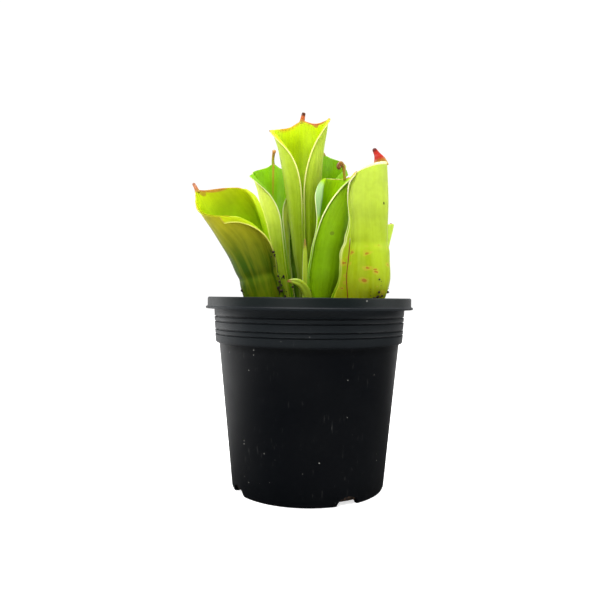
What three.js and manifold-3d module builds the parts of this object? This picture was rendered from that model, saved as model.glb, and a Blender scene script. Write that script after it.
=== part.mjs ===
// A clump of sun pitchers (marsh pitcher plants) growing in a ribbed plastic nursery pot.
//
// Millimetres, +Z up. The origin is the centre of the pot's flat underside, which stands on the floor.
// -Y is the front of the plant, the side that the tallest pitcher opens towards.

import * as THREE from "three";
import { mergeVertices } from "three/addons/utils/BufferGeometryUtils.js";
import Module from "manifold-3d";

const wasm = await Module();
wasm.setup();

// ---------------------------------------------------------------- driving dimensions

const GAP = 0.3; // clearance between pieces that rest on or in each other

// Pot
const POT_HEIGHT = 91;
const BAND_OUT = 3.2; // how far the plain band round the mouth stands out from the collar
const BAND_WALL = 1.3;
const BAND_DEPTH = 5.2; // from the mouth down to the underside of the lip
const LIP_OUT = 0.8; // how far the lip stands out from the band
const LIP_HEIGHT = 1.7;
const COLLAR_RADIUS = 46; // ribbed collar, where it leaves the lip
const COLLAR_TAPER = 0.9; // how much narrower the collar is at its foot
const COLLAR_DEPTH = 20.5; // from the mouth down to the foot of the collar
const BODY_STEP = 1.6; // step in from the collar's foot to the body
const BASE_RADIUS = 36.6;
const BASE_EDGE = 1; // bevel round the underside
const POT_WALL = 1.2;
const POT_FLOOR = 1.6;
const GROOVE_SHARES = [3.9, 6.2, 9.9, 12.1].map((drop) => drop / 15.3); // down the collar's height
const GROOVE_WIDTH = 0.8;
const GROOVE_CUT = 0.5;
const DRAIN_COUNT = 4;
const DRAIN_WIDTH = 11;
const DRAIN_HEIGHT = 4.4;
const DRAIN_TURN = THREE.MathUtils.degToRad(-61); // direction of the first drain notch from +X
const POT_SIDES = 48;

// Potting mix
const HEADSPACE = 9.4; // from the mouth of the pot down to the mix
const MIX_MOUND = 0.8; // how much higher the mix is at its middle
const MIX_SIDES = 32;

// Rhizome and roots
const KNOB_RISE = 0.6; // height of each leaf's knob above the mix
const KNOB_RADIUS = 2.1;
const RHIZOME_DEPTH = 6;
const RHIZOME_RADIUS = 3.2;
const ROOT_COUNT = 6;
const ROOT_LENGTH = 52;
const ROOT_SPREAD = 19;
const ROOT_RADIUS = 1.3;

// Leaves
const LEAF_WALL = 0.8;
const SEAM_GAP = 0.3; // between the two wings down the front of a pitcher
const SEAM_STRIP = 2.4; // width of the strip that closes the pitcher behind its wings
const BODY_STEPS = 10; // facets round a pitcher; each wing adds one more
const LENGTH_STEPS = 8;
const BODY_SHARE = BODY_STEPS / (BODY_STEPS + 2);
const BASE_SINK = 3; // a leaf's spine starts this far below its cut base
const CLUMP_SPREAD = COLLAR_RADIUS / 46; // a wider or narrower pot holds a wider or narrower clump

// Loose pieces on the mix
const GRAIN_SIZE = 1.5;
const CHIP_SIZE = 2.6;

// ---------------------------------------------------------------- levels that follow from them

const BAND_RADIUS = COLLAR_RADIUS + BAND_OUT;
const GROOVE_DEPTHS = GROOVE_SHARES.map((share) => BAND_DEPTH + (COLLAR_DEPTH - BAND_DEPTH) * share);
const MIX_LEVEL = POT_HEIGHT - HEADSPACE;
const LEAF_LEVEL = MIX_LEVEL + MIX_MOUND + KNOB_RISE + GAP;

// ---------------------------------------------------------------- the leaves
//
// Places and widths are for a clump spread of 1.
// spine: four points of a cubic curve, x and y from the pot's axis and z above the cut base.
// facing: the compass angle of the pitcher's open side, in degrees from +X, from base to mouth.
// wide, deep: half the width and half the depth of the tube, evenly spaced from base to mouth.
// wing: how far the wings, and above the notch the rolled margins, stand out; leftWing where it differs.
// notch: share of the length where the wings part. corner: half-wrap at the mouth, in degrees.
// flare: how late the opening widens. hood: rise of the back edge over the corners; hoodStart is
// the share of the length where it begins, and hoodCurve how pointed it is. skew: one corner
// higher than the other. peak: the small point that carries the spoon.
// spoon: the nectar spoon's path from that point, and its radii.

const pitchers = [
  {
    name: "pitcher_tall_centre",
    colour: 0xa9c234,
    spine: [[-2, 3, 0], [-2.3, 3, 30.5], [-4.2, 4, 67], [-5.2, 6, 93.4]],
    facing: [-90, -90],
    wide: [2.6, 3.4, 5.9, 7.5, 9.2, 11.4, 14.2],
    deep: [2.6, 3.4, 5.2, 6.8, 8, 9, 9.5],
    wing: [0.4, 1, 1.2, 1, 0.8, 0.8, 0.8],
    notch: 0.55, corner: 95, flare: 2.2,
    hood: 3, hoodStart: 0.7, hoodCurve: 2, skew: 3, peak: 2.6,
    spoon: [[0, 0, -1.5], [0.4, -0.2, 1.2], [1, -0.5, 4.4]], spoonRadii: [1.5, 1.1, 0.7],
  },
  {
    name: "pitcher_back_left",
    colour: 0x7db426,
    spine: [[-7.5, 7, 0], [-15, 10, 17.5], [-17.9, 13.5, 46], [-18.3, 16.9, 68.3]],
    facing: [-60, -58, -80],
    wide: [2.6, 3.6, 4.6, 5.5, 6.5, 8.8, 12.2],
    deep: [2.6, 3.4, 4.4, 5, 6, 7.5, 9],
    wing: [0.4, 1, 1.2, 1, 0.6, 0.6, 1],
    notch: 0.66, corner: 97, flare: 1.9,
    hood: 11, hoodStart: 0.7, hoodCurve: 1.15, skew: 0, peak: 1.5,
    spoon: [[0, 0, -1.5], [-0.3, 0, 2.5], [0.6, -1, 6.4]], spoonRadii: [1, 0.9, 1.1],
  },
  {
    name: "pitcher_front_left",
    colour: 0x8fa82c,
    spine: [[-18.5, -7, 0], [-26, -9, 13.5], [-26.5, -10, 36], [-35.2, -10.8, 46.3]],
    facing: [-15, -22, -42],
    wide: [4.5, 8.2, 9, 9.5, 10.6, 11.6, 11.8],
    deep: [4.5, 8.2, 9, 9.5, 10.6, 11.6, 11.8],
    wing: [0.6, 2.4, 2.4, 2, 1.8, 1.2, 1.2],
    leftWing: [0.6, 2.4, 2.4, 2, 1.2, 0.5, 0.2],
    notch: 0.45, corner: 108, flare: 2.4,
    hood: 21.6, hoodStart: 0.35, hoodCurve: 1.2, skew: 4.2, peak: 1,
    spoon: [[1, 0, -1.2], [-0.6, 0, 0.6], [-2.6, 0, 2.6]], spoonRadii: [1.1, 0.9, 0.6],
  },
  {
    name: "pitcher_centre_right",
    colour: 0x86b326,
    spine: [[4, -5, 0], [7.5, -7, 15.5], [10, -8, 41.5], [14.5, -5.5, 64.7]],
    facing: [-140, -150, -120],
    wide: [3, 6, 8, 8.2, 8, 8, 7.8],
    deep: [3, 6, 7.8, 8, 8, 7.8, 7.8],
    wing: [0.6, 1.6, 1.6, 1.4, 1, 0.8, 1.2],
    leftWing: [0.6, 1.6, 1.6, 1.4, 1, 3.6, 1.6],
    notch: 0.55, corner: 100, flare: 2.6,
    hood: 3, hoodStart: 0.7, hoodCurve: 2, skew: 1.5, peak: 1,
    spoon: [[0, 0, -1.5], [-1, -0.2, 2], [-2, -0.8, 6.4], [-4.6, -1.6, 6.6]], spoonRadii: [0.9, 0.8, 1, 1.2],
  },
  {
    name: "pitcher_back_right",
    colour: 0x6fa522,
    spine: [[3, 12, 0], [4, 16, 22], [6, 22, 50], [6.6, 25, 72]],
    facing: [-95, -95],
    wide: [2.4, 3.6, 5, 6.5, 8, 9.8, 12.2],
    deep: [2.4, 3.4, 4.5, 6, 7.5, 9, 10],
    wing: [0.4, 1, 1.2, 1, 0.8, 0.8, 1.2],
    notch: 0.6, corner: 100, flare: 2.4,
    hood: 14.5, hoodStart: 0.6, hoodCurve: 1.5, skew: 0, peak: 1,
    spoon: [[0, 0, -1.5], [-1.2, 0, 1], [-3, -0.6, 2]], spoonRadii: [1.1, 0.9, 0.9],
  },
  {
    name: "pitcher_front_right",
    colour: 0xa7b948,
    spine: [[23, -14, 0], [29, -19, 12.5], [27, -20, 42], [26, -21.5, 63]],
    facing: [-160, -165, -172],
    wide: [5.5, 8.3, 10.2, 9.4, 8.4, 8.9, 8.7],
    deep: [5.5, 8.3, 10.2, 9.4, 8.4, 8.9, 8.7],
    wing: [11, 8, 3.6, 4.4, 1, 0.8, 1],
    notch: 0.6, corner: 110, flare: 3.6,
    hood: 6, hoodStart: 0.7, hoodCurve: 2, skew: 0, peak: 0,
    spoon: [[-0.6, 0, -1.5], [-2.4, 0, 0.8], [-4.2, 0, 3.6], [-5.6, 0, 6.6]], spoonRadii: [1.8, 2.4, 1.5, 0.8],
  },
  {
    name: "pitcher_back_shaded",
    colour: 0x5d8f20,
    spine: [[-6, 14.5, 0], [-9, 20, 20], [-11, 26.5, 40], [-12, 29.5, 60]],
    facing: [-85, -85],
    wide: [2.2, 3, 3.8, 4.4, 5, 5.6, 6.8],
    deep: [2.2, 3, 3.8, 4.2, 4.6, 5.2, 6],
    wing: [0.4, 0.8, 1, 0.8, 0.6, 0.6, 0.8],
    notch: 0.62, corner: 105, flare: 2.4,
    hood: 3, hoodStart: 0.7, hoodCurve: 2, skew: 0, peak: 1.5,
    spoon: [[0, 0, -1.2], [0, 0, 1.4], [0.3, -0.8, 3.2]], spoonRadii: [0.9, 0.8, 0.8],
  },
  {
    name: "pitcher_small_right",
    colour: 0x8db33a,
    spine: [[17, 3, 0], [31, 5, 11], [36, 6, 27], [35.3, 7, 42.7]],
    facing: [-165, -150],
    wide: [2.2, 2.8, 3.2, 3.5, 3.9, 4.8, 6.6],
    deep: [2.2, 2.8, 3.2, 3.5, 3.9, 4.8, 6.6],
    wing: [0.4, 0.8, 1, 0.8, 0.6, 0.6, 0.8],
    notch: 0.62, corner: 105, flare: 2.4,
    hood: 2, hoodStart: 0.7, hoodCurve: 2, skew: 0, peak: 0.5,
    spoon: [[0, 0, -1.2], [0, 0, -0.2], [0.2, 0.1, 0.5]], spoonRadii: [0.9, 0.8, 0.6],
  },
];

// Young leaves that have not opened yet: solid blades along a spine.
const shoots = [
  {
    name: "young_leaf_upright",
    colour: 0x9db52e,
    spine: [[-2, -6, 0], [-1.8, -6.5, 12.5], [-2.2, -7, 24.5], [-2.4, -7.5, 36]],
    wide: [1.3, 1.4, 1.5, 1.4, 1.1, 0.4],
    deep: [1.1, 1.2, 1.2, 1.1, 0.9, 0.4],
  },
  {
    name: "young_leaf_curled",
    colour: 0xb4c63a,
    spine: [[0.5, -12.5, 0], [0.5, -15, 10.5], [-3, -17, 16.5], [-10.5, -17, 15]],
    wide: [1.8, 2, 2, 1.9, 1.5, 0.6],
    deep: [1, 1.1, 1.1, 1, 0.8, 0.4],
  },
];

// ---------------------------------------------------------------- geometry helpers

/** Smooth value at share t of a list of evenly spaced values (Catmull-Rom). */
function along(values, t) {
  const last = values.length - 1;
  const place = Math.min(Math.max(t, 0), 1) * last;
  const i = Math.min(Math.floor(place), last - 1);
  const f = place - i;
  const [p0, p1, p2, p3] = [values[Math.max(i - 1, 0)], values[i], values[i + 1], values[Math.min(i + 2, last)]];
  const v1 = (p2 - p0) / 2;
  const v2 = (p3 - p1) / 2;
  return (2 * p1 - 2 * p2 + v1 + v2) * f ** 3 + (3 * p2 - 3 * p1 - 2 * v1 - v2) * f ** 2 + v1 * f + p1;
}

/** A closed three.js geometry as a manifold-3d solid. */
function solid(geometry) {
  const bare = geometry.index ? geometry.clone() : geometry;
  bare.deleteAttribute("normal");
  bare.deleteAttribute("uv");
  const merged = mergeVertices(bare, 1e-4);
  const vertProperties = new Float32Array(merged.attributes.position.array);
  const triVerts = new Uint32Array(merged.index.array);
  return new wasm.Manifold(new wasm.Mesh({ numProp: 3, vertProperties, triVerts }));
}

/** A manifold-3d solid as a three.js geometry. */
function surface(body) {
  const { vertProperties, triVerts, numProp } = body.getMesh();
  const geometry = new THREE.BufferGeometry();
  const points = new Float32Array((vertProperties.length / numProp) * 3);
  for (let i = 0; i < points.length / 3; i++) {
    for (let k = 0; k < 3; k++) points[i * 3 + k] = vertProperties[i * numProp + k];
  }
  geometry.setAttribute("position", new THREE.BufferAttribute(points, 3));
  geometry.setIndex(new THREE.BufferAttribute(new Uint32Array(triVerts), 1));
  geometry.computeVertexNormals();
  return geometry;
}

/** Moves every vertex of a geometry to where place(x, y, z) says. */
function reshape(geometry, place) {
  const points = geometry.attributes.position;
  for (let i = 0; i < points.count; i++) {
    const moved = place(points.getX(i), points.getY(i), points.getZ(i));
    points.setXYZ(i, moved.x, moved.y, moved.z);
  }
  geometry.computeVertexNormals();
  return geometry;
}

/** Points as vectors, with their places in the pot spread like the clump. */
const vectors = (list) => list.map(([x, y, z]) => new THREE.Vector3(x * CLUMP_SPREAD, y * CLUMP_SPREAD, z));

/** A leaf's width at share t of its length, spread like the clump. */
const widthOf = (values, t) => along(values, t) * CLUMP_SPREAD;

/**
 * A solid rod along a curve; its half width and half depth follow the share of the length.
 * Its ends stand past the curve's ends by the given overrun.
 */
function rod(curve, widthAt, depthAt, sides, steps, front = new THREE.Vector3(0, -1, 0), overrun = 0) {
  return reshape(new THREE.CylinderGeometry(1, 1, 1, sides, steps), (x, y, z) => {
    const t = y + 0.5;
    const tangent = curve.getTangent(t);
    const depth = front.clone().addScaledVector(tangent, -front.dot(tangent)).normalize();
    const width = tangent.clone().cross(depth);
    const point = curve.getPoint(t);
    if (t === 0) point.addScaledVector(tangent, -overrun);
    if (t === 1) point.addScaledVector(tangent, overrun);
    return point.addScaledVector(width, x * widthAt(t)).addScaledVector(depth, z * depthAt(t));
  });
}

// ---------------------------------------------------------------- pitcher leaves

/** The curve up the middle of a leaf, with its base sunk below the leaf level. */
function spineOf(leaf) {
  const [base, ...rest] = vectors(leaf.spine);
  base.z -= BASE_SINK;
  const up = new THREE.Vector3(0, 0, LEAF_LEVEL);
  return new THREE.CubicBezierCurve3(...[base, ...rest].map((point) => point.add(up)));
}

/** Where the spine of a leaf passes its cut base. */
function footOf(leaf) {
  const spine = spineOf(leaf);
  let t = 0;
  while (spine.getPoint(t).z < LEAF_LEVEL) t += 0.002;
  return spine.getPoint(t);
}

/** Directions at share t of a pitcher: up its spine, to its open side, and across it. */
function frameAt(leaf, spine, t) {
  const up = spine.getTangent(t);
  const compass = THREE.MathUtils.degToRad(along(leaf.facing, t));
  const open = new THREE.Vector3(Math.cos(compass), Math.sin(compass), 0);
  open.addScaledVector(up, -open.dot(up)).normalize();
  return { up, open, across: up.clone().cross(open) };
}

/** Outer skin of a pitcher: u runs from one margin, by the back at 0, to the other at 1. */
function skinPoint(leaf, spine, u, t) {
  const { open, across } = frameAt(leaf, spine, t);
  const halfWide = widthOf(leaf.wide, t);
  const halfDeep = widthOf(leaf.deep, t);
  const side = Math.sign(u);
  const closed = Math.PI - Math.asin((LEAF_WALL + SEAM_GAP / 2) / halfWide);
  const parted = Math.max(0, (t - leaf.notch) / (1 - leaf.notch)) ** leaf.flare;
  const wrap = closed + (THREE.MathUtils.degToRad(leaf.corner) - closed) * parted;
  const angle = Math.min(Math.abs(u) / BODY_SHARE, 1) * wrap;
  const outward = new THREE.Vector3()
    .addScaledVector(open, -halfWide * Math.cos(angle))
    .addScaledVector(across, halfDeep * Math.sin(angle) * side)
    .normalize();
  const wing = widthOf(u < 0 && leaf.leftWing ? leaf.leftWing : leaf.wing, t);
  const wingShare = Math.max(0, (Math.abs(u) - BODY_SHARE) / (1 - BODY_SHARE));
  const rise =
    leaf.hood * (1 - Math.abs(u) ** leaf.hoodCurve) +
    leaf.skew * u +
    leaf.peak * Math.exp(-((u / 0.09) ** 2));
  return spine
    .getPoint(t)
    .addScaledVector(open, -halfDeep * Math.cos(angle))
    .addScaledVector(across, halfWide * Math.sin(angle) * side)
    .addScaledVector(outward, wing * wingShare)
    .addScaledVector(spine.getTangent(1), rise * THREE.MathUtils.smoothstep(t, leaf.hoodStart, 1));
}

/** Direction out of a pitcher's skin. */
function skinNormal(leaf, spine, u, t) {
  const step = 0.01;
  const at = (du, dt) =>
    skinPoint(leaf, spine, Math.min(Math.max(u + du, -1), 1), Math.min(Math.max(t + dt, 0), 1));
  const alongEdge = at(step, 0).sub(at(-step, 0));
  const alongLength = at(0, step).sub(at(0, -step));
  return alongLength.cross(alongEdge).normalize();
}

/** The rolled blade of a pitcher: a sheet wrapped into a tube, open at its mouth. */
function blade(leaf, spine) {
  const sheet = new THREE.BoxGeometry(2, 1, 1, BODY_STEPS + 2, LENGTH_STEPS, 1);
  return reshape(sheet, (x, y, z) => {
    const point = skinPoint(leaf, spine, -x, y + 0.5);
    return point.addScaledVector(skinNormal(leaf, spine, -x, y + 0.5), (z - 0.5) * LEAF_WALL);
  });
}

/** The strip behind the wings that closes the tube from its base up to the notch. */
function seamStrip(leaf, spine) {
  const share = Math.min(leaf.notch, 0.62);
  const steps = Math.round(LENGTH_STEPS * share);
  return reshape(new THREE.BoxGeometry(1, 1, 1, 1, steps, 1), (x, y, z) => {
    const t = 0.004 + (y + 0.5) * share;
    const { open, across } = frameAt(leaf, spine, t);
    return spine
      .getPoint(t)
      .addScaledVector(across, x * SEAM_STRIP)
      .addScaledVector(open, widthOf(leaf.deep, t) + (z - 0.5) * LEAF_WALL);
  });
}

/** The solid foot of a pitcher, where its tube joins the rhizome. */
function foot(leaf, spine) {
  const reach = (BASE_SINK + 2.5) / spine.getLength();
  const curve = new THREE.CatmullRomCurve3([0.002, 0.5, 1].map((share) => spine.getPoint(share * reach)));
  const width = (share) => widthOf(leaf.wide, share * reach) - LEAF_WALL * 0.35;
  return rod(curve, width, width, 12, 1);
}

/** The nectar spoon at the top of a pitcher's back. */
function spoon(leaf, spine) {
  const tip = skinPoint(leaf, spine, 0, 1);
  tip.addScaledVector(skinNormal(leaf, spine, 0, 1), -LEAF_WALL / 2);
  const curve = new THREE.CatmullRomCurve3(vectors(leaf.spoon).map((point) => point.add(tip)));
  const radius = (t) => along(leaf.spoonRadii, t);
  return rod(curve, radius, radius, 6, 4, new THREE.Vector3(0.2, -1, 0));
}

function pitcher(leaf) {
  const spine = spineOf(leaf);
  return solid(blade(leaf, spine))
    .add(solid(seamStrip(leaf, spine)))
    .add(solid(foot(leaf, spine)))
    .add(solid(spoon(leaf, spine)))
    .trimByPlane([0, 0, 1], LEAF_LEVEL);
}

function shoot(leaf) {
  const widthAt = (t) => widthOf(leaf.wide, t);
  const depthAt = (t) => widthOf(leaf.deep, t);
  return solid(rod(spineOf(leaf), widthAt, depthAt, 8, 8)).trimByPlane([0, 0, 1], LEAF_LEVEL);
}

// ---------------------------------------------------------------- pot

const COLLAR_FOOT = COLLAR_RADIUS - COLLAR_TAPER;
const BODY_TOP = COLLAR_FOOT - BODY_STEP;

/** Outside radius of the collar at a depth below the mouth. */
function collarRadius(depth) {
  return THREE.MathUtils.mapLinear(depth, BAND_DEPTH, COLLAR_DEPTH, COLLAR_RADIUS, COLLAR_FOOT);
}

/** Outside radius of the tapered body at a height above the floor. */
function bodyRadius(height) {
  return THREE.MathUtils.mapLinear(height, 0, POT_HEIGHT - COLLAR_DEPTH, BASE_RADIUS, BODY_TOP);
}

/** Points of the pot's outline, up the outside and down the inside. */
function potOutline() {
  const points = [];
  const add = (radius, height) => points.push(new THREE.Vector2(radius, height));
  add(0, 0);
  add(BASE_RADIUS - BASE_EDGE, 0);
  add(bodyRadius(BASE_EDGE), BASE_EDGE);
  add(BODY_TOP, POT_HEIGHT - COLLAR_DEPTH);
  add(COLLAR_FOOT, POT_HEIGHT - COLLAR_DEPTH + 0.4);
  for (const depth of [...GROOVE_DEPTHS].reverse()) {
    add(collarRadius(depth + GROOVE_WIDTH / 2), POT_HEIGHT - depth - GROOVE_WIDTH / 2);
    add(collarRadius(depth) - GROOVE_CUT, POT_HEIGHT - depth);
    add(collarRadius(depth - GROOVE_WIDTH / 2), POT_HEIGHT - depth + GROOVE_WIDTH / 2);
  }
  add(COLLAR_RADIUS, POT_HEIGHT - BAND_DEPTH);
  add(BAND_RADIUS + LIP_OUT, POT_HEIGHT - BAND_DEPTH);
  add(BAND_RADIUS + LIP_OUT, POT_HEIGHT - BAND_DEPTH + LIP_HEIGHT - 0.4);
  add(BAND_RADIUS, POT_HEIGHT - BAND_DEPTH + LIP_HEIGHT);
  add(BAND_RADIUS, POT_HEIGHT - 0.6);
  add(BAND_RADIUS - 0.5, POT_HEIGHT);
  add(BAND_RADIUS - BAND_WALL, POT_HEIGHT);
  add(BAND_RADIUS - BAND_WALL, POT_HEIGHT - BAND_DEPTH + POT_WALL);
  add(COLLAR_RADIUS - POT_WALL, POT_HEIGHT - BAND_DEPTH + POT_WALL);
  add(COLLAR_FOOT - POT_WALL, POT_HEIGHT - COLLAR_DEPTH);
  add(BODY_TOP - POT_WALL, POT_HEIGHT - COLLAR_DEPTH - 0.8);
  add(bodyRadius(POT_FLOOR) - POT_WALL, POT_FLOOR);
  add(0, POT_FLOOR);
  return points;
}

/** Turns an outline in the XZ plane round the Z axis. */
function turned(outline, sides) {
  return new THREE.LatheGeometry(outline, sides).rotateX(Math.PI / 2);
}

/** A wedge that cuts one drain notch through the wall and the edge of the floor. */
function drainCutter(index) {
  const shape = new THREE.Shape();
  shape.moveTo(-DRAIN_WIDTH / 2, -1);
  shape.lineTo(-DRAIN_WIDTH / 2, 0.6);
  shape.quadraticCurveTo(-DRAIN_WIDTH * 0.2, DRAIN_HEIGHT, 0, DRAIN_HEIGHT);
  shape.quadraticCurveTo(DRAIN_WIDTH * 0.2, DRAIN_HEIGHT, DRAIN_WIDTH / 2, 0.6);
  shape.lineTo(DRAIN_WIDTH / 2, -1);
  const reach = 9;
  const cutter = new THREE.ExtrudeGeometry(shape, { depth: reach, bevelEnabled: false, curveSegments: 3 });
  cutter.rotateX(Math.PI / 2).rotateZ(Math.PI / 2).translate(BASE_RADIUS - 4, 0, 0);
  return cutter.rotateZ(DRAIN_TURN + (index * 2 * Math.PI) / DRAIN_COUNT);
}

function pot() {
  let body = solid(turned(potOutline(), POT_SIDES));
  for (let i = 0; i < DRAIN_COUNT; i++) body = body.subtract(solid(drainCutter(i)));
  return body;
}

// ---------------------------------------------------------------- rhizome, roots and mix

const heart = new THREE.Vector3(0, 1, MIX_LEVEL - RHIZOME_DEPTH);

/** One arm of the rhizome, from its heart up to a leaf's foot. */
function rhizomeArm(leaf, grow) {
  const end = footOf(leaf);
  const top = MIX_LEVEL + MIX_MOUND + KNOB_RISE;
  const curve = new THREE.CatmullRomCurve3([
    heart.clone(),
    new THREE.Vector3(end.x * 0.75, end.y * 0.75, MIX_LEVEL - RHIZOME_DEPTH + 1.5),
    new THREE.Vector3(end.x, end.y, MIX_LEVEL - 1.5),
    new THREE.Vector3(end.x, end.y, top),
  ]);
  const radius = (t) => THREE.MathUtils.lerp(RHIZOME_RADIUS, KNOB_RADIUS, t) + grow;
  return rod(curve, radius, radius, 6, 4, new THREE.Vector3(0.31, 0.95, 0.02), grow);
}

/** One root, from the heart of the rhizome down into the mix. */
function root(index, grow) {
  const turn = ((index + 0.3) * 2 * Math.PI) / ROOT_COUNT;
  const out = (radius, drop) =>
    new THREE.Vector3(radius * Math.cos(turn), radius * Math.sin(turn), -drop).add(heart);
  const curve = new THREE.CatmullRomCurve3([
    heart.clone(),
    out(ROOT_SPREAD * 0.45, ROOT_LENGTH * 0.16),
    out(ROOT_SPREAD * 0.9, ROOT_LENGTH * 0.5),
    out(ROOT_SPREAD, ROOT_LENGTH * 0.94),
  ]);
  const radius = (t) => ROOT_RADIUS * (1 - 0.6 * t) + grow;
  return rod(curve, radius, radius, 5, 5, new THREE.Vector3(-Math.sin(turn), Math.cos(turn), 0), grow);
}

/** The rhizome with its arms and roots; grow makes the hollow that it fills in the mix. */
function rhizome(grow = 0) {
  const ball = new THREE.SphereGeometry(RHIZOME_RADIUS + 1 + grow, 8, 6).translate(...heart.toArray());
  let body = solid(ball);
  for (const leaf of [...pitchers, ...shoots]) body = body.add(solid(rhizomeArm(leaf, grow)));
  for (let i = 0; i < ROOT_COUNT; i++) body = body.add(solid(root(i, grow)));
  return body;
}

/** The potting mix, which fills the pot below the headspace. */
function pottingMix() {
  const inner = (height) => bodyRadius(height) - POT_WALL - GAP;
  const foot = POT_FLOOR + GAP;
  const outline = [
    new THREE.Vector2(0, foot),
    new THREE.Vector2(inner(foot), foot),
    new THREE.Vector2(BODY_TOP - POT_WALL - GAP, POT_HEIGHT - COLLAR_DEPTH - 1),
    new THREE.Vector2(COLLAR_FOOT - POT_WALL - GAP, POT_HEIGHT - COLLAR_DEPTH + 1),
    new THREE.Vector2(COLLAR_FOOT - POT_WALL - GAP, MIX_LEVEL - 0.6),
    new THREE.Vector2(COLLAR_FOOT - POT_WALL - GAP - 3, MIX_LEVEL),
    new THREE.Vector2(COLLAR_FOOT * 0.6, MIX_LEVEL + MIX_MOUND),
    new THREE.Vector2(0, MIX_LEVEL + MIX_MOUND),
  ];
  return solid(turned(outline, MIX_SIDES)).subtract(rhizome(GAP));
}

// ---------------------------------------------------------------- loose grains and chips

/** A crumb of the given size with uneven corners, lying on the mix at x, y. */
function crumb(x, y, size, flatness, seed) {
  const lump = new THREE.IcosahedronGeometry(size, 0);
  const uneven = (value, shift) => value * (1 + 0.18 * Math.sin(5.1 * value + 2.3 * seed + shift));
  reshape(lump, (px, py, pz) =>
    new THREE.Vector3(uneven(px, 0), uneven(py, 1.7), uneven(pz, 3.1) * flatness));
  lump.rotateZ(seed * 1.3);
  lump.computeBoundingBox();
  return lump.translate(x, y, MIX_LEVEL + MIX_MOUND + GAP - lump.boundingBox.min.z);
}

// ---------------------------------------------------------------- the assembly

const plant = new THREE.Group();

function place(name, geometry, colour, roughness, parent = plant) {
  const material = new THREE.MeshStandardMaterial({ color: colour, roughness, metalness: 0 });
  const mesh = new THREE.Mesh(geometry, material);
  mesh.name = name;
  parent.add(mesh);
}

const potGroup = new THREE.Group();
plant.add(potGroup);
place("nursery_pot", surface(pot()), 0x24272a, 0.45, potGroup);
place("potting_mix", surface(pottingMix()), 0x2e2119, 0.95, potGroup);

const leafGroup = new THREE.Group();
plant.add(leafGroup);
place("rhizome", surface(rhizome()), 0x5a3d22, 0.8, leafGroup);
for (const leaf of pitchers) place(leaf.name, surface(pitcher(leaf)), leaf.colour, 0.4, leafGroup);
for (const leaf of shoots) place(leaf.name, surface(shoot(leaf)), leaf.colour, 0.45, leafGroup);

// Perlite grains and bark chips lie between the leaves, each at its own angle and distance.
const grainPlaces = [[-13, -13], [-9, -21], [3, -24], [-38, 8], [35, -2], [0, 33], [-24, 22], [20, 22]];
const chipPlaces = [[-4, -30], [-33, -22], [16, -33], [24, 12], [-16, -30], [12, 34]];
const lying = (places) => places.map((place) => place.map((offset) => offset * CLUMP_SPREAD));
lying(grainPlaces).forEach(([x, y], i) => {
  place(`perlite_grain_${i + 1}`, crumb(x, y, GRAIN_SIZE, 0.85, i), 0xe6e2d2, 0.9);
});
lying(chipPlaces).forEach(([x, y], i) => {
  place(`bark_chip_${i + 1}`, crumb(x, y, CHIP_SIZE, 0.45, i + 10), 0x4b3222, 0.9);
});

export default plant;
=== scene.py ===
"""Looks, light and camera for a clump of sun pitchers growing in a ribbed nursery pot.

Lengths of the plant and the pot are in millimetres until a mesh is made, and meshes are in metres.
"""

import logging
import math
import random
from collections.abc import Callable, Sequence
from dataclasses import dataclass, field
from enum import Enum

import bmesh
import bpy
from mathutils import Matrix, Vector, noise


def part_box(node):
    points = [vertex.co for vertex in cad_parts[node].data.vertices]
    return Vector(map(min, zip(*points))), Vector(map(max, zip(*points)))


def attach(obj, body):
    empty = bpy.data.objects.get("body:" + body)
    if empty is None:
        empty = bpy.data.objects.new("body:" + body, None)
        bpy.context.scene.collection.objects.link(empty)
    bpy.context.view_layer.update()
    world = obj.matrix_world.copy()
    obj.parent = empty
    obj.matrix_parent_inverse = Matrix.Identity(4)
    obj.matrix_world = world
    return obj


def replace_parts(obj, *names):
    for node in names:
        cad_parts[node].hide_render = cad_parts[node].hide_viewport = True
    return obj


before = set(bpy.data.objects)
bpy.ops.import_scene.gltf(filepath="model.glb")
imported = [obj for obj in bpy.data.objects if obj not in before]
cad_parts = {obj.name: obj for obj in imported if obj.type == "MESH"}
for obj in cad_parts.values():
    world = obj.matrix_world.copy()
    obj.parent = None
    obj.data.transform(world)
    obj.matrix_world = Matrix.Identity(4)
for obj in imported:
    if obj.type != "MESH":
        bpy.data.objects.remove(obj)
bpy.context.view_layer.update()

log = logging.getLogger("pitcher_plant")

MM = 0.001
BODY = "root"

Pair = tuple[float, float]
Triple = tuple[float, float, float]
Place = Callable[[float, float], Vector]
Socket = bpy.types.NodeSocket
Value = Socket | float
Colour = Socket | Triple

MERGE = 1e-7  # points closer than this, in metres, are one
WELD = 1e-6  # the same, for what a boolean cut leaves
CRUMB_DETAIL = 1
PIECE_DETAIL = 3
CRISP = math.radians(38)  # a moulded corner that turns more than this is kept sharp


class Skin(Enum):
    """The three kinds of surface of a leaf, in the order of its material slots."""

    OUTER = 0
    INNER = 1
    RIM = 2


class Crumb(Enum):
    """The kinds of loose piece that lie on the potting mix."""

    PEAT = "peat"
    PERLITE = "perlite"
    BARK = "bark"

    @property
    def slot(self) -> str:
        """The record's material slot of such a piece."""
        return "potting_mix" if self is Crumb.PEAT else self.value


# ---------------------------------------------------------------- numbers and curves


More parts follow.
